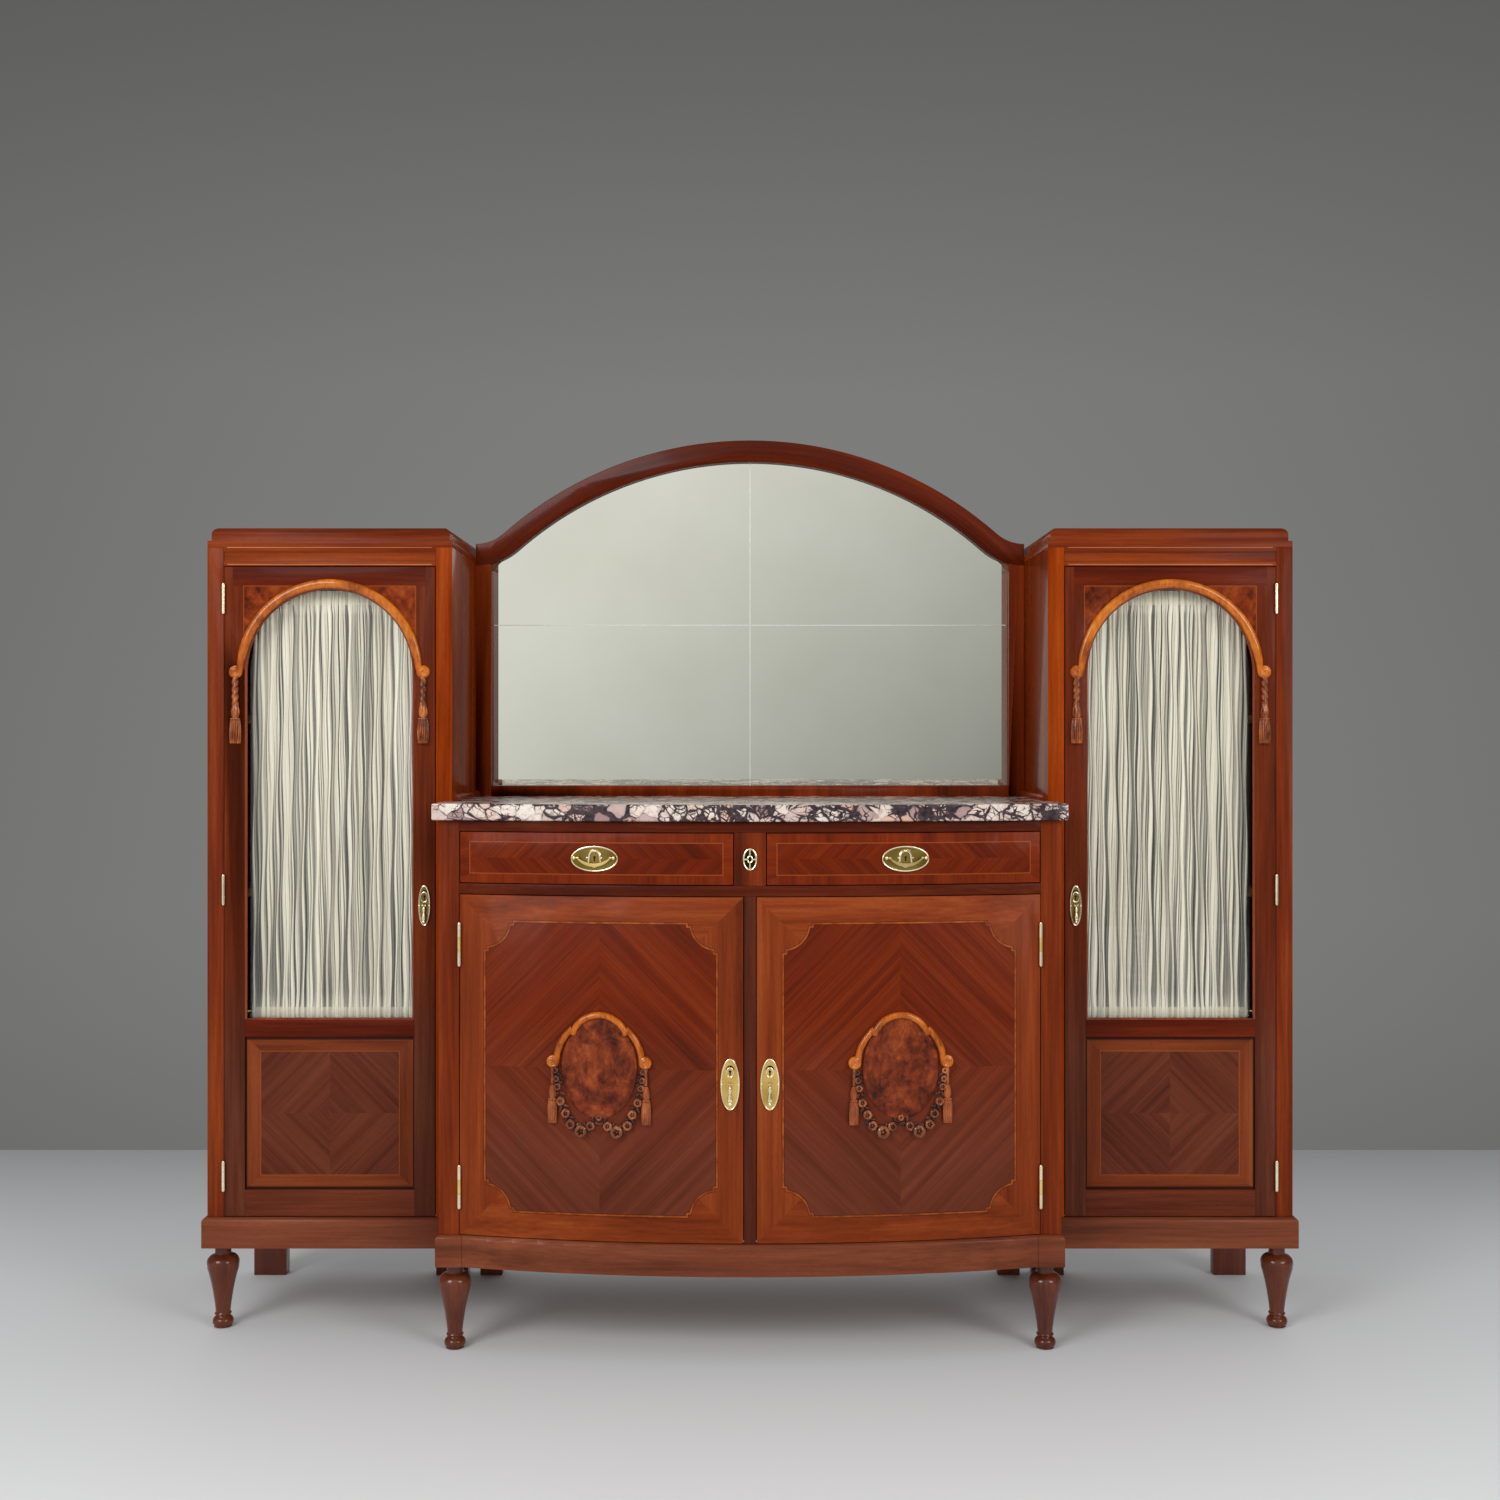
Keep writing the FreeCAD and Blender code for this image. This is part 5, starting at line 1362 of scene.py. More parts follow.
@dataclass
class DrawerPlate(OvalPlate):
    """A drawer's handle plate, with an arched ornament over its keyhole and a crescent under it."""

    def ornament(self) -> Shape:
        """An arch on two legs with nibs, a dome on its crown, a crescent, domes on the posts."""
        angle = np.radians(np.linspace(0, 180, 15))
        arch = points_of(0.0098 * np.cos(angle), -0.0034, 0.0046 + 0.0098 * np.sin(angle))
        leg = np.array([[0.0108, -0.0030, -0.0052], [0.0098, -0.0034, 0.0046]])
        path = np.concatenate([leg, arch[1:-1], leg[::-1] * np.array([-1, 1, 1])])
        crown = ball(5, 10).scaled(0.0034, 0.0024, 0.0028).moved(0, -0.0044, 0.0142)
        foot = np.radians(np.linspace(200, 340, 14))
        crescent = points_of(0.0072 * np.cos(foot), -0.0021, -0.0092 + 0.0056 * np.sin(foot))
        swell = np.linspace(0.0005, 0.0012, 7)
        parts = [tube(path, 0.0021, 10), crown,
                 tube(crescent, np.concatenate([swell, swell[::-1]]), 8)]
        dome = ball(5, 12).scaled(0.0031, 0.0018, 0.0031)
        for hand in (-1, 1):
            nib = np.array([[hand * 0.0104, -0.0034, 0.0012], [hand * 0.0146, -0.0030, 0.0020]])
            parts.append(tube(nib, 0.0015, 8))
            parts.append(dome.moved(hand * 0.0360, -0.0103, 0.0020))
        return Shape.union(parts)


@dataclass
class PiercedPlate(OvalPlate):
    """The keyhole plate between the drawers: a ring held by four spokes over a ground painted dark
    as shade.
    """

    def ornament(self) -> Shape:
        """The ring and its spokes."""
        parts = [self.oval((0.0042, 0.0058), 0.0014, 0.0026)]
        for x, z in ((0.0, 1.0), (0.0, -1.0), (1.0, 0.0), (-1.0, 0.0)):
            spoke = np.array([[x * 0.0040, -0.0025, z * 0.0056],
                              [x * self.half[0], -0.0023, z * self.half[1]]])
            parts.append(tube(spoke, 0.0018, 8))
        return Shape.union(parts)


@dataclass
class DropPull:
    """A drop pull that hangs from its pin: a collar, a swelling body and a ball with a tip."""

    side: Side
    node: str
    body: str
    pivot: tuple[float, float, float]
    length: float
    width: float = 0.0048

    def build(self, shop: Workshop) -> None:
        """Turn the drop, with an eye at its pivot, in place of the CAD's plain one."""
        share = np.array([
            [0.26, 0.0], [0.58, 0.02], [0.76, 0.07], [0.66, 0.12], [0.36, 0.15], [0.52, 0.17],
            [0.90, 0.19], [0.98, 0.24], [0.94, 0.32], [0.80, 0.44], [0.60, 0.54], [0.46, 0.62],
            [0.60, 0.68], [0.78, 0.76], [0.52, 0.84], [0.30, 0.92], [0.26, 0.98]])
        profile = np.stack([share[:, 0] * self.width, (share[:, 1] - 1) * self.length], 1)
        drop = lathe(profile, 20).scaled(1.0, 0.62, 1.0)
        eye = ball(6, 12).scaled(0.0016, 0.0025, 0.0025)
        shape = Shape.union([drop, eye]).moved(*self.pivot).mirrored(self.side)
        shop.make(f"{self.node}_drop", shape, PALE_BRASS, self.body, (self.node,))


@dataclass
class Carcass:
    """The boards, cornices, plinths and mirror frame, carried over from the CAD."""

    boards: dict[str, Finish] = field(default_factory=lambda: {
        "side_cabinet_outer_sides": UPRIGHT, "side_cabinet_inner_sides": NICHE,
        "side_cabinet_cornices": ACROSS, "side_cabinet_plinths": PLINTH,
        "cupboard_sides": UPRIGHT, "cupboard_plinth": PLINTH, "cupboard_top_board": FRIEZE,
        "door_post": POST, "drawer_board": FRIEZE, "drawer_divider": UPRIGHT,
        "mirror_frame": FRAME_WOOD, "mirror_arch": ARCH_WOOD, "back_feet": TURNED,
        "side_cabinet_floors": INSIDE, "side_cabinet_shelves": INSIDE, "back_panels": INSIDE,
        "cupboard_floor": INSIDE, "cupboard_shelf": INSIDE, "drawer_guides": INSIDE,
        "mirror_back": INSIDE, "marble_top": MARBLE,
    })
    metal: tuple[str, ...] = ("side_cabinet_hinges", "cupboard_hinges", "centre_escutcheon")
    rail_edges: tuple[float, ...] = (1.4785, 1.4465)
    rail_reach: tuple[float, float] = (0.6005, 0.9862)
    rail_front: float = -0.0858
    rail_bead: float = 0.0011
    keyhole_centre: tuple[float, float, float] = (0.0, -0.260, 0.9025)
    keyhole_half: tuple[float, float] = (0.0117, 0.0187)

    def build(self, shop: Workshop) -> None:
        """Dress every fixed board and the fixed metalwork."""
        for node, finish in self.boards.items():
            shop.carry(node, finish, shop.eased)
        for node in self.metal:
            shop.carry(node, PALE_BRASS)
        # Its recess is painted shade behind the pierced ring.
        PiercedPlate("centre_keyhole_plate", "carcass", self.keyhole_centre, self.keyhole_half,
                     RECESS_SHADE).build(shop, Side.RIGHT)
        # Thin pale beads along the edges of the rails, as painted highlights.
        x = np.array(self.rail_reach)
        right = Shape.union([tube(points_of(x, self.rail_front, z), self.rail_bead, 8)
                             for z in self.rail_edges])
        shop.make("rail_beads", Shape.union([right, right.mirrored()]), PAINTED_EDGE_HIGHLIGHT, "carcass")


@dataclass
class TurnedLegs:
    """Four turned front legs with a bun foot, a long taper and a round belly."""

    places: tuple[tuple[float, float], ...] = ((1.003, -0.057), (0.542, -0.170))
    top: float = 0.158

    def profile(self) -> np.ndarray:
        """Radius and height: sole, bun, ankle ring, taper, belly and neck."""
        taper = np.linspace(0, 1, 14)
        rise = 0.032 + (0.112 - 0.032) * taper
        swell = 0.0138 + (0.0292 - 0.0138) * (0.62 * taper + 0.38 * taper ** 2.4)
        return np.concatenate([
            np.array([[0.0150, 0.0], [0.0168, 0.0012]]),
            arc((0.0094, 0.0105), 0.0102, -52, 62, 10),
            np.array([[0.0130, 0.0218], [0.0152, 0.0236], [0.0158, 0.0254], [0.0148, 0.0270],
                      [0.0138, 0.0284]]),
            np.stack([swell, rise], 1),
            arc((0.0150, 0.1220), 0.0152, -20, 78, 10),
            np.array([[0.0158, 0.1388], [0.0150, 0.1420], [0.0150, self.top]]),
        ])

    def build(self, shop: Workshop) -> None:
        """Turn the legs and set them at the four front corners."""
        leg = lathe(self.profile(), 40)
        legs = [leg.moved(side.value * x, y, 0.0) for x, y in self.places for side in Side]
        shop.make("turned_legs", Shape.union(legs), TURNED, "carcass", ("front_legs",))


@dataclass
class MirrorPanes:
    """Four silvered panes that meet at a cross, bevelled along the frame."""

    half_width: float = 0.5365
    bottom: float = 1.015
    joint: float = 1.351
    arch_middle: float = 0.964
    arch_radius: float = 0.727
    front: float = 0.203
    hidden: float = 0.006
    bevel: float = 0.013
    deep: float = 0.0006
    thick: float = 0.003
    gap: float = 0.0006

    def pane(self, upper: bool) -> Shape:
        """One right-hand pane.

        Its columns run from the frame to the middle joint and its rows up the
        pane. The rows of an upper pane end on the arch, whose height is the
        middle's plus the root of the radius squared less x squared. The face
        falls back evenly where a point is nearer to a side or to the foot than
        the bevel; the arch has none.

        Args:
            upper: Whether it is the pane under the arch, not the lower one.

        Returns:
            The closed pane.
        """
        edge = self.hidden + self.bevel
        near = np.array([0.0, self.hidden, edge])
        aside = np.concatenate([near, np.linspace(edge, self.half_width - self.gap, 44)[1:]])
        x = self.half_width - aside
        share = np.linspace(0, 1, 12)[:, None]
        if upper:
            rise = np.sqrt(self.arch_radius ** 2 - x ** 2)
            slope = self.arch_radius / rise
            base, top = self.joint + self.gap + 0 * x, self.arch_middle + rise
            body = base + (top - edge * slope - base) * share
            rows = np.concatenate([body, (top - self.hidden * slope)[None], top[None]])
            height = np.zeros((len(rows), 1))
        else:
            base, top = self.bottom + 0 * x, self.joint - self.gap + 0 * x
            body = base + edge + (top - base - edge) * share
            rows = np.concatenate([base[None], (base + self.hidden)[None], body])
            height = np.concatenate([[1.0, self.bevel / edge], 0 * share[:, 0]])[:, None]
        sideways = np.clip(1 - aside / edge, 0, 1)[None]
        depth = self.front + self.deep * np.maximum(height, sideways)
        points = points_of(x, depth, rows)
        loop = np.concatenate([points[0], points[1:, -1], points[-1, -2::-1], points[-2:0:-1, 0]])
        back, behind = points.copy(), loop.copy()
        back[..., 1] = behind[:, 1] = self.front + self.deep + self.thick
        wall = Shape.grid(np.stack([loop, behind]), True)
        rear = Shape.grid(back)
        return Shape.union([Shape.grid(points), Shape(rear.points, rear.faces[:, ::-1]), wall])

    def build(self, shop: Workshop) -> None:
        """Set the four panes and the pale ground edges between them."""
        right = Shape.union([self.pane(False), self.pane(True)])
        piece = shop.make("bevelled_mirror_panes", Shape.union([right, right.mirrored()]), MIRROR,
                          "carcass", ("mirror_panes",))
        mesh = piece.data
        mesh.polygons.foreach_set("use_smooth", np.zeros(len(mesh.polygons), dtype=bool))
        reach, crown = self.half_width - 0.01, self.arch_middle + self.arch_radius
        middle = self.front + 0.0006
        across = points_of(np.array([-reach, reach]), middle, self.joint)
        up = points_of(0.0, middle, np.array([self.bottom + 0.002, crown - 0.002]))
        lines = Shape.union([tube(line, self.gap * 1.7, 6) for line in (across, up)])
        shop.make("pane_joints", lines, GroundEdge(), "carcass")


def knotted_tassel(bell_radius: float, bell: tuple[float, float], skirt_radius: float,
                   skirt: tuple[float, float], lobes: int) -> Shape:
    """A petalled bell over a bead ring and a fringed skirt, hanging at x = y = 0.

    Args:
        bell_radius: Widest radius of the bell.
        bell: Heights of the bell's bottom and top.
        skirt_radius: Widest radius of the skirt.
        skirt: Heights of the skirt's bottom and top.
        lobes: Strands of the fringe.

    Returns:
        The closed tassel.
    """
    share = np.linspace(0, 1, 12)
    low, high = bell
    swell = np.sin(np.pi * (0.12 + 0.8 * (1 - share))) ** 0.6
    cup = lathe(np.stack([bell_radius * (0.25 + 0.75 * swell * (1 - 0.5 * share)),
                          low + (high - low) * share], 1), 36, 6, 0.22 * np.sin(np.pi * share))
    low, high = skirt
    flare = 0.74 + 0.26 * np.sin(np.pi * (0.15 + 0.62 * (1 - share)))
    profile = np.stack([skirt_radius * flare, low + (high - low) * share], 1)
    fringe = lathe(profile, 8 * lobes, lobes, 0.2, 0.04)
    middle = (bell[0] + skirt[1]) / 2
    angle = np.linspace(0, TURN, 9, endpoint=False)
    ring = points_of(0.72 * bell_radius * np.cos(angle), 0.72 * bell_radius * np.sin(angle), middle)
    beads = ball(4, 8).copies(ring, np.full(9, 0.26 * bell_radius))
    neck = lathe(np.array([[0.5 * bell_radius, skirt[1] - 0.002], [0.6 * bell_radius, middle],
                           [0.5 * bell_radius, bell[0] + 0.002]]), 16)
    return Shape.union([cup, fringe, beads, neck])


@dataclass
class GlazedDoor:
    """A side cabinet's door: veneered frame, pane, curtain, carved arch and brass."""

    side: Side
    middle: float = GLAZED_DOOR_MIDDLE
    arch_radius: float = 0.1672
    front: float = -0.086
    volute: tuple[float, float] = (0.17715, 1.2435)
    opening_foot: float = 0.587
    lock: tuple[float, float] = (0.614, 0.803)
    lock_half: tuple[float, float] = (0.0105, 0.0370)
    pull_pivot: tuple[float, float, float] = (0.614, -0.093, 0.803756)
    pull_length: float = 0.0335
    curtain_middle: float = -0.050
    curtain_edges: tuple[float, float] = (0.63735, 0.94935)
    hem: float = 0.586
    header: float = 1.400
    rods: tuple[float, float] = (0.598, 1.373)
    pleats: int = 26

    def arch_line(self) -> np.ndarray:
        """Right half of the moulding's middle line, from the crown to the heart of the scroll.

        The arch keeps its radius, then drifts outwards over its last tenth to
        the scroll, whose radius shrinks evenly while it turns a little over one
        and a half times.
        """
        angle = np.radians(np.linspace(90, 2, 60))
        drift = np.clip((np.radians(24) - angle) / np.radians(22), 0, 1) ** 2 * 0.0016
        reach = self.arch_radius + drift
        arch = points_of(reach * np.cos(angle), self.front - 0.002,
                         ARCH_SPRING + reach * np.sin(angle))
        share = np.linspace(0.04, 1, 46)
        turn = np.pi + share * 1.6 * TURN
        wind = 0.0084 - 0.0066 * share
        scroll = points_of(self.volute[0] + wind * np.cos(turn), self.front - 0.002 - 0.003 * share,
                           self.volute[1] + wind * np.sin(turn))
        return np.concatenate([arch, scroll])

    def carved_arch(self) -> Shape:
        """The moulding with its scrolls and a round boss behind each of them."""
        right = self.arch_line()
        whole = np.concatenate([(right * np.array([-1, 1, 1]))[:0:-1], right])
        shrink = np.concatenate([np.full(50, 0.0086), np.linspace(0.0086, 0.0058, 10),
                                 np.linspace(0.0054, 0.0024, 46)])
        radius = np.concatenate([shrink[:0:-1], shrink])
        parts = [tube(whole, radius, 20, 0.74)]
        profile = np.array([[0.0120, 0.0], [0.0124, 0.004], [0.0108, 0.0062], [0.0076, 0.0066]])
        boss = upright_to_front(lathe(profile, 28))
        for hand in (-1, 1):
            parts.append(boss.moved(hand * self.volute[0], self.front + 0.002, self.volute[1]))
        return Shape.union(parts).moved(self.middle, 0.0, 0.0)

    def hanging_tassels(self) -> Shape:
        """A twisted rope with a bell and a fringed skirt under each scroll."""
        rope = points_of(0.0, 0.0, np.linspace(1.236, 1.180, 60))
        tassel = knotted_tassel(0.0100, (1.157, 1.184), 0.0112, (1.109, 1.1525), 13)
        tassel = tassel.scaled(1.0, 0.72, 1.0)
        parts = []
        for hand in (-1, 1):
            hanging = Shape.union([tube(rope, 0.0066, 24, 0.9, 2, 2.1 * hand), tassel])
            aside = self.middle + hand * self.volute[0]
            parts.append(hanging.moved(aside, self.front - 0.003, 0.0))
        return Shape.union(parts)

    def opening_bead(self) -> Shape:
        """A round bead along the edge of the opening, once round it."""
        reach, foot = HALF_OPENING - 0.0016, self.opening_foot + 0.0016
        angle = np.radians(np.linspace(180, 0, 72))
        rise = np.linspace(foot, ARCH_SPRING, 12)
        level = np.linspace(reach, -reach, 14)[1:]
        arch = angle[1:-1]
        x = np.concatenate([np.full(12, -reach), reach * np.cos(arch), np.full(12, reach), level])
        z = np.concatenate([rise, ARCH_SPRING + reach * np.sin(arch), rise[::-1],
                            np.full(13, foot)])
        path = points_of(x, self.front + 0.0022, z)
        return tube(path, 0.0026, 10).moved(self.middle, 0.0, 0.0)

    def curtain(self) -> tuple[Shape, float]:
        """The gathered cloth.

        Across the cloth a phase runs through the pleats at an uneven pace.
        Depth is the pleat's depth times the sine of the phase, and a small
        sideways sine of twice the phase rounds the pleats. Near a rod the
        cloth comes forward and flatter, and finer gathers fade in.

        Returns:
            The surface and its flat width in metres.
        """
        u = np.linspace(0, 1, 860)[None]
        v = np.concatenate([np.linspace(0, 0.03, 7)[:-1], np.linspace(0.03, 0.94, 30)[:-1],
                            np.linspace(0.94, 1, 10)])[:, None]
        z = self.hem + (self.header - self.hem) * v
        pace = u + 0.009 * np.sin(TURN * (4.3 * u + 0.1)) + 0.0045 * np.sin(TURN * (9.7 * u + 0.4))
        sway = 0.0050 * np.sin(TURN * (0.9 * v + 2.3 * u))
        sway = sway + 0.0026 * np.sin(TURN * (1.9 * v + 6.1 * u))
        phase = TURN * self.pleats * (pace + sway * 0.5)
        rod = np.maximum(*(np.exp(-((z - height) / 0.016) ** 2) for height in self.rods))
        swell = np.sin(TURN * (6.9 * u + 0.5 * v)) * np.cos(TURN * 3.1 * u)
        depth = (0.0019 + 0.0009 * swell) * (1 - 0.4 * rod)
        y = self.curtain_middle - 0.0034 * rod + depth * np.sin(phase)
        y = y + 0.0006 * np.sin(2.37 * phase + 1.3) * (1 - 0.3 * rod)
        y = np.clip(y, self.curtain_middle - 0.0058, self.curtain_middle + 0.0056)
        start, end = self.curtain_edges
        x = start + (end - start) * u + 0.0009 * np.sin(2 * phase)
        x = x + 0.0016 * np.sin(TURN * (3.3 * v + 9 * u)) * (1 - rod)
        points = points_of(np.clip(x, start, end), y, z)
        step = np.linalg.norm(np.diff(points, axis=1), axis=2)
        width = float(step.sum(axis=1).mean())
        shape = Shape.grid(points)
        shape.cloth = np.stack([u + 0 * v, v + 0 * u], -1).reshape(-1, 2)
        return shape, width

    def build(self, shop: Workshop) -> None:
        """Make and dress the door."""
        word = self.side.word
        body = f"{word}_glazed_door"
        shop.carry(f"{word}_glazed_door_frame", FRAME_VENEER, shop.eased)
        shop.carry(f"{word}_glazed_door_panel", PANEL_VENEER, shop.eased_panel)
        shop.carry(f"{word}_glazed_door_glass", GLASS)
        shop.carry(f"{word}_glazed_door_brass", PALE_BRASS)
        OvalPlate(f"{word}_side_lock_plate", body, (self.lock[0], self.front, self.lock[1]),
                  self.lock_half, SHADED_OLD_BRASS, keyhole=0.0175,
                  ring=(0.0062, 0.0094)).build(shop, self.side)
        DropPull(self.side, f"{word}_glazed_door_pull", f"{word}_glazed_pull", self.pull_pivot,
                 self.pull_length).build(shop)
        shop.carry(f"{word}_glazed_door_bolt", STEEL)
        carving = (f"{word}_glazed_door_carving",)
        shop.make(f"{word}_carved_arch", self.carved_arch().mirrored(self.side), HONEY, body,
                  carving)
        shop.make(f"{word}_arch_tassels", self.hanging_tassels().mirrored(self.side), TASSEL, body,
                  carving)
        shop.make(f"{word}_opening_bead", self.opening_bead().mirrored(self.side), BEAD, body)
        shape, width = self.curtain()
        cloth = shop.make(f"{word}_gathered_curtain", shape.mirrored(self.side), SHEER, body,
                          (f"{word}_glazed_door_curtain",), open_sheet=True)
        LOG.info("curtain cut to %.3f by %.3f m", width, self.header - self.hem)


@dataclass
class Medallion:
    """The carved trim of a cupboard door, worked out flat and set on the bowed front.

    The garland lists the roses of the right-hand swag from its end to its
    foot: how far aside, how far down, and how large, as shares of the swag's
    half width and depth and of a rose's radius.
    """

    side: Side
    centre: tuple[float, float, float] = (0.2701, -0.2445, 0.522)
    bow_turn: float = math.radians(6.57)
    plaque: tuple[float, float] = (0.069, 0.091)
    plaque_rise: float = 0.005
    scroll: tuple[float, float] = (0.084, 0.0165)
    tassel_aside: float = 0.0855
    swag: tuple[float, float] = (0.080, 0.108)
    rose: float = 0.0098
    garland: tuple[tuple[float, float, float], ...] = (
        (1.0, 0.0, 0.6), (0.98, 0.14, 0.65), (0.95, 0.27, 0.7), (0.88, 0.51, 0.85),
        (0.76, 0.71, 0.9), (0.65, 0.89, 0.95), (0.41, 1.0, 1.25), (0.2, 0.91, 0.9),
        (0.0, 0.77, 0.6))

    def oval(self) -> Shape:
        """The plaque: an oval disc with a rounded rim, 3 mm proud."""
        share = np.array([0.05, 0.3, 0.6, 0.85, 0.95, 0.985, 1.0, 1.0])
        rise = np.array([0.0034, 0.0034, 0.0033, 0.0031, 0.0028, 0.0022, 0.001, -0.004])
        disc = upright_to_front(lathe(np.stack([share, rise], 1)[::-1], 64))
        return disc.scaled(self.plaque[0], 1.0, self.plaque[1]).moved(0, 0, self.plaque_rise)

    def crest(self) -> Shape:
        """The stepped arch: a crown arc, and on each side a sweep from the step to the scroll."""
        angle = np.radians(np.linspace(166, 14, 44))
        crown = points_of(0.0500 * np.cos(angle), -0.0028, 0.0540 + 0.0462 * np.sin(angle))
        parts = [tube(crown, 0.0060, 14)]
        share = np.linspace(0, 1, 26)
        x = 0.0485 + 0.0290 * np.sin(share * np.pi / 2) ** 0.9
        z = 0.0750 - 0.0560 * share ** 1.12
        profile = np.array([[0.0112, 0.0], [0.0118, 0.005], [0.0106, 0.0084], [0.0070, 0.0100]])
        boss = upright_to_front(lathe(profile, 28))
        turn = np.linspace(0, 1, 34)
        wind = 0.0084 - 0.0064 * turn
        aside = self.scroll[0] - wind * np.cos(turn * 1.5 * TURN)
        height = self.scroll[1] - wind * np.sin(turn * 1.5 * TURN)
        for hand in (-1, 1):
            parts.append(tube(points_of(hand * x, -0.0022, z), 0.0058, 14))
            parts.append(boss.moved(hand * self.scroll[0], 0.0, self.scroll[1]))
            curl = points_of(hand * aside, -0.0088, height)
            parts.append(tube(curl, np.linspace(0.0022, 0.0016, 34), 8))
        return Shape.union(parts)

    def tassels(self) -> Shape:
        """Two tassels on short cords under the scrolls."""
        cord = points_of(0.0, -0.004, np.linspace(0.008, -0.024, 12))
        tassel = knotted_tassel(0.0076, (-0.050, -0.026), 0.0086, (-0.094, -0.054), 9)
        tassel = tassel.scaled(1, 0.62, 1).moved(0, -0.003, 0)
        hanging = Shape.union([tube(cord, 0.0028, 12, 1.0, 3, 1.2), tassel])
        return Shape.union([hanging.moved(hand * self.tassel_aside, 0, 0) for hand in (-1, 1)])

    def rose_places(self) -> tuple[np.ndarray, np.ndarray]:
        """Places and sizes of the roses of both swags, which grow towards the foot."""
        aside, down, size = np.array(self.garland).T
        right = points_of(aside * self.swag[0], -0.0018, -self.swag[1] * down)
        sizes = size * self.rose
        return (np.concatenate([right, right[:-1] * np.array([-1, 1, 1])]),
                np.concatenate([sizes, sizes[:-1]]))

    def roses(self) -> Shape:
        """The rims of the roses, each of its own size."""
        places, sizes = self.rose_places()
        return rose_rim().copies(places, sizes)

    def hollows(self) -> Shape:
        """Dark discs of painted shade under the roses, with leaves tucked between them."""
        places, sizes = self.rose_places()
        profile = np.array([[0.9, 0.0], [0.92, 0.1], [0.7, 0.22], [0.05, 0.24]])
        parts = [upright_to_front(lathe(profile, 18)).copies(places, sizes)]
        count = len(self.garland)
        for swag in (places[:count], places[:count] * np.array([-1, 1, 1])):
            middles, ways = (swag[:-1] + swag[1:]) / 2, np.diff(swag, axis=0)
            for middle, way in zip(middles, ways):
                tilt = math.atan2(way[2], way[0])
                for lean in (-1, 1):
                    blade = leaf().scaled(0.0062, 0.006, 0.0070).tilted(tilt + lean * 0.9)
                    side = tilt + lean * 1.5
                    away = np.array([math.cos(side), 0, math.sin(side)]) * 0.0056
                    parts.append(blade.moved(*(middle + away)))
        return Shape.union(parts)

    def placed(self, shape: Shape) -> Shape:
        """Turn a flat shape to the bow and set it on the door of this side."""
        return shape.turned(self.bow_turn).moved(*self.centre).mirrored(self.side)

    def build(self, shop: Workshop) -> None:
        """Make the plaque, the honey trim and the garland, whose dark discs under the roses are
        painted shade.
        """
        body = f"{self.side.word}_cupboard_door"
        for part, shape, finish in (
                ("burr_plaque", self.oval(), BURR), ("medallion_crest", self.crest(), HONEY),
                ("medallion_tassels", self.tassels(), TASSEL_PALE),
                ("rose_rims", self.roses(), ROSE_RIMS),
                ("rose_hollows", self.hollows(), HOLLOW_SHADE_CARVING)):
            shop.make(f"{self.side.word}_{part}", self.placed(shape), finish, body,
                      (f"{body}_carving",))


@dataclass
class CupboardDoor:
    """A bowed cupboard door with its medallion, lock plate and pull."""

    side: Side
    lock_centre: tuple[float, float, float] = (0.0355, -0.25973, 0.501)
    lock_half: tuple[float, float] = (0.0161, 0.0451)
    bow_turn: float = math.radians(0.86)
    pull_pivot: tuple[float, float, float] = (0.035605, -0.266732, 0.50192)
    pull_length: float = 0.0385

    def build(self, shop: Workshop) -> None:
        """Dress the door's CAD nodes and add the medallion."""
        word = self.side.word
        shop.carry(f"{word}_cupboard_door_panel", DOOR_VENEER, shop.eased)
        shop.carry(f"{word}_cupboard_door_brass", BRASS)
        OvalPlate(f"{word}_cupboard_lock_plate", f"{word}_cupboard_door", self.lock_centre,
                  self.lock_half, SHADED_GOLD_RECESS, self.bow_turn, keyhole=0.0230,
                  ring=(0.0058, 0.0086)).build(shop, self.side)
        DropPull(self.side, f"{word}_cupboard_door_pull", f"{word}_cupboard_pull",
                 self.pull_pivot, self.pull_length).build(shop)
        shop.carry(f"{word}_cupboard_door_bolt", STEEL)
        Medallion(self.side).build(shop)


@dataclass
class Drawer:
    """A bowed drawer with its box, handle plate and bail."""

    side: Side
    plate_front: float = -0.2435
    plate_half: tuple[float, float] = (0.0420, 0.0220)
    bow_turn: float = math.radians(6.78)

    def build(self, shop: Workshop) -> None:
        """Dress the drawer's CAD nodes."""
        word = self.side.word
        shop.carry(f"{word}_drawer_front", DRAWER_VENEER, shop.eased)
        shop.carry(f"{word}_drawer_box", LINING)
        shop.carry(f"{word}_drawer_handle_plate", BRASS)
        shop.carry(f"{word}_drawer_bail", BRASS)
        aside, height = DRAWER_CENTRE
        DrawerPlate(f"{word}_bail_plate", f"{word}_drawer", (aside, self.plate_front, height),
                    self.plate_half, SHADED_OLD_BRASS, self.bow_turn,
                    keyhole=0.0026).build(shop, self.side)


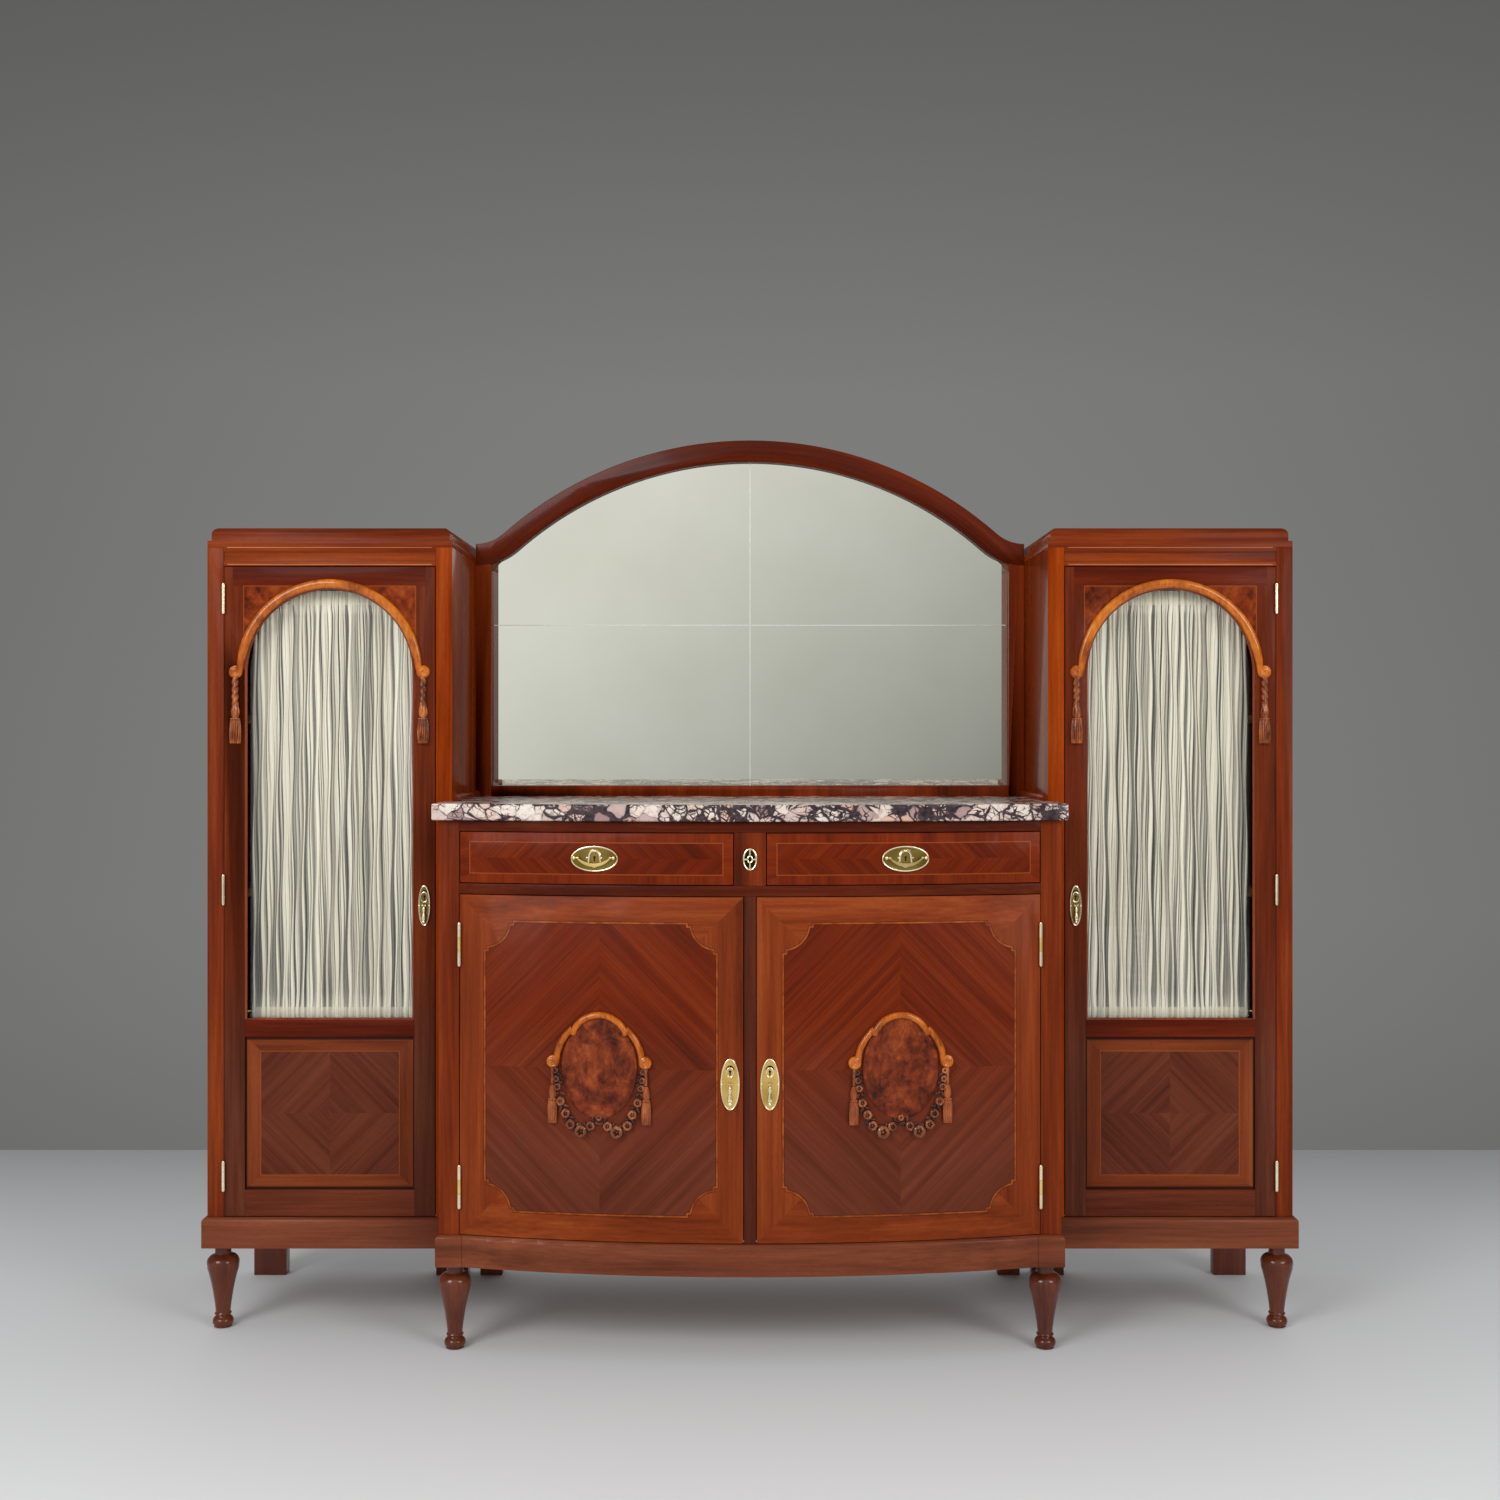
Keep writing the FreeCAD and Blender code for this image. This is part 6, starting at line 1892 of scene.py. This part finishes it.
@dataclass
class Studio:
    """The pale floor, the wall seen behind, the camera and the soft lamps.

    Each lamp is given by its place, its size in metres and its power in watts.
    """

    eye: tuple[float, float, float] = (0.0, -3.286, 1.119)
    lens: float = 40.70
    shift: float = -0.008
    floor_back: float = 1.32
    lamps: tuple[tuple[tuple[float, float, float], float, float], ...] = (
        ((-2.6, -3.4, 2.9), 2.2, 84.0), ((2.8, -3.2, 2.4), 2.0, 54.0))
    target: tuple[float, float, float] = (0.0, 0.0, 0.85)
    ambient: Colour = srgb(200, 201, 203)

    def floor(self) -> None:
        """A rectangle from behind the camera to the foot of the wall."""
        x, y = np.meshgrid(np.linspace(-7, 7, 15), np.linspace(-7.0, self.floor_back, 10))
        shape = Shape.grid(np.stack([x, y, 0 * x], -1))
        mesh = bpy.data.meshes.new("floor")
        mesh.from_pydata(shape.points.tolist(), [], shape.faces.tolist())
        mesh.materials.append(StudioFloor().material())
        floor = bpy.data.objects.new("floor", mesh)
        bpy.context.scene.collection.objects.link(floor)

    def wall(self) -> None:
        """Grey wall for what is seen or mirrored, even pale light for the rest.

        The wall's grey follows the height of the line of sight; behind the
        camera the room is paler, which is what the mirror shows.
        """
        world = bpy.data.worlds.new("studio")
        bpy.context.scene.world = world
        nodes = Nodes(world)
        aside, away, rise = nodes.split(nodes.add("ShaderNodeTexCoord").outputs["Generated"])
        stops = [(place, srgb(*grey)) for place, *grey in (
            (0.0, 113, 113, 111), (0.03, 118, 118, 116), (0.14, 126, 126, 124),
            (0.22, 129, 129, 128), (0.39, 128, 128, 126), (0.64, 124, 124, 122),
            (0.71, 118, 118, 116), (0.79, 111, 111, 109), (0.86, 104, 104, 102),
            (0.92, 99, 99, 97), (1.0, 95, 95, 93))]
        wall = nodes.colours(rise.ramp(-0.25, 0.45), stops)
        wall = nodes.blend((aside * aside * 5.0).at_most(1.0) * 0.3, wall, srgb(60, 60, 59))
        front = nodes.colours((rise * 1.15 - aside).ramp(-0.215, 0.21),
                              [(0.0, srgb(136, 137, 133)), (1.0, srgb(229, 229, 225))])
        room = nodes.blend(away.ramp(-0.1, -0.7), wall, front)
        path = nodes.add("ShaderNodeLightPath")
        seen = nodes.value(path, "Is Camera Ray").at_least(nodes.value(path, "Is Glossy Ray"))
        seen = seen.at_least(nodes.value(path, "Is Transmission Ray"))
        colour = nodes.blend(seen, self.ambient, room)
        light = nodes.add("ShaderNodeBackground", {}, {"Color": colour, "Strength": 1.0})
        nodes.add("ShaderNodeOutputWorld", {}, {"Surface": light.outputs[0]})

    def light(self) -> None:
        """Two large soft lamps turned to the middle of the cabinet."""
        for number, (place, size, power) in enumerate(self.lamps):
            lamp = bpy.data.lights.new(f"lamp_{number}", "AREA")
            lamp.shape = "DISK"
            lamp.size = size
            lamp.energy = power
            holder = bpy.data.objects.new(f"lamp_{number}", lamp)
            holder.location = place
            x, y, z = np.array(self.target) - np.array(place)
            pitch = math.pi / 2 - math.atan2(-z, math.hypot(x, y))
            holder.rotation_euler = (pitch, 0.0, math.atan2(-x, y))
            bpy.context.scene.collection.objects.link(holder)

    def camera(self) -> None:
        """A level camera in front of the middle."""
        camera = bpy.data.cameras.new("camera")
        camera.lens = self.lens
        camera.sensor_width = 36.0
        camera.sensor_fit = "HORIZONTAL"
        camera.shift_y = self.shift
        holder = bpy.data.objects.new("camera", camera)
        holder.location = self.eye
        holder.rotation_euler = (math.pi / 2, 0.0, 0.0)
        bpy.context.scene.collection.objects.link(holder)
        bpy.context.scene.camera = holder

    def build(self) -> None:
        """Set up the whole studio."""
        bpy.context.scene.view_settings.view_transform = "Standard"
        self.camera()
        self.floor()
        self.wall()
        self.light()


def main() -> None:
    """Build the studio and the cabinet."""
    logging.basicConfig(level=logging.INFO, format="%(name)s: %(message)s")
    Studio().build()
    shop = Workshop()
    Carcass().build(shop)
    TurnedLegs().build(shop)
    MirrorPanes().build(shop)
    for side in Side:
        GlazedDoor(side).build(shop)
        CupboardDoor(side).build(shop)
        Drawer(side).build(shop)
    LOG.info("%d pieces", len(shop.pieces))


if __name__ == "__main__":
    main()
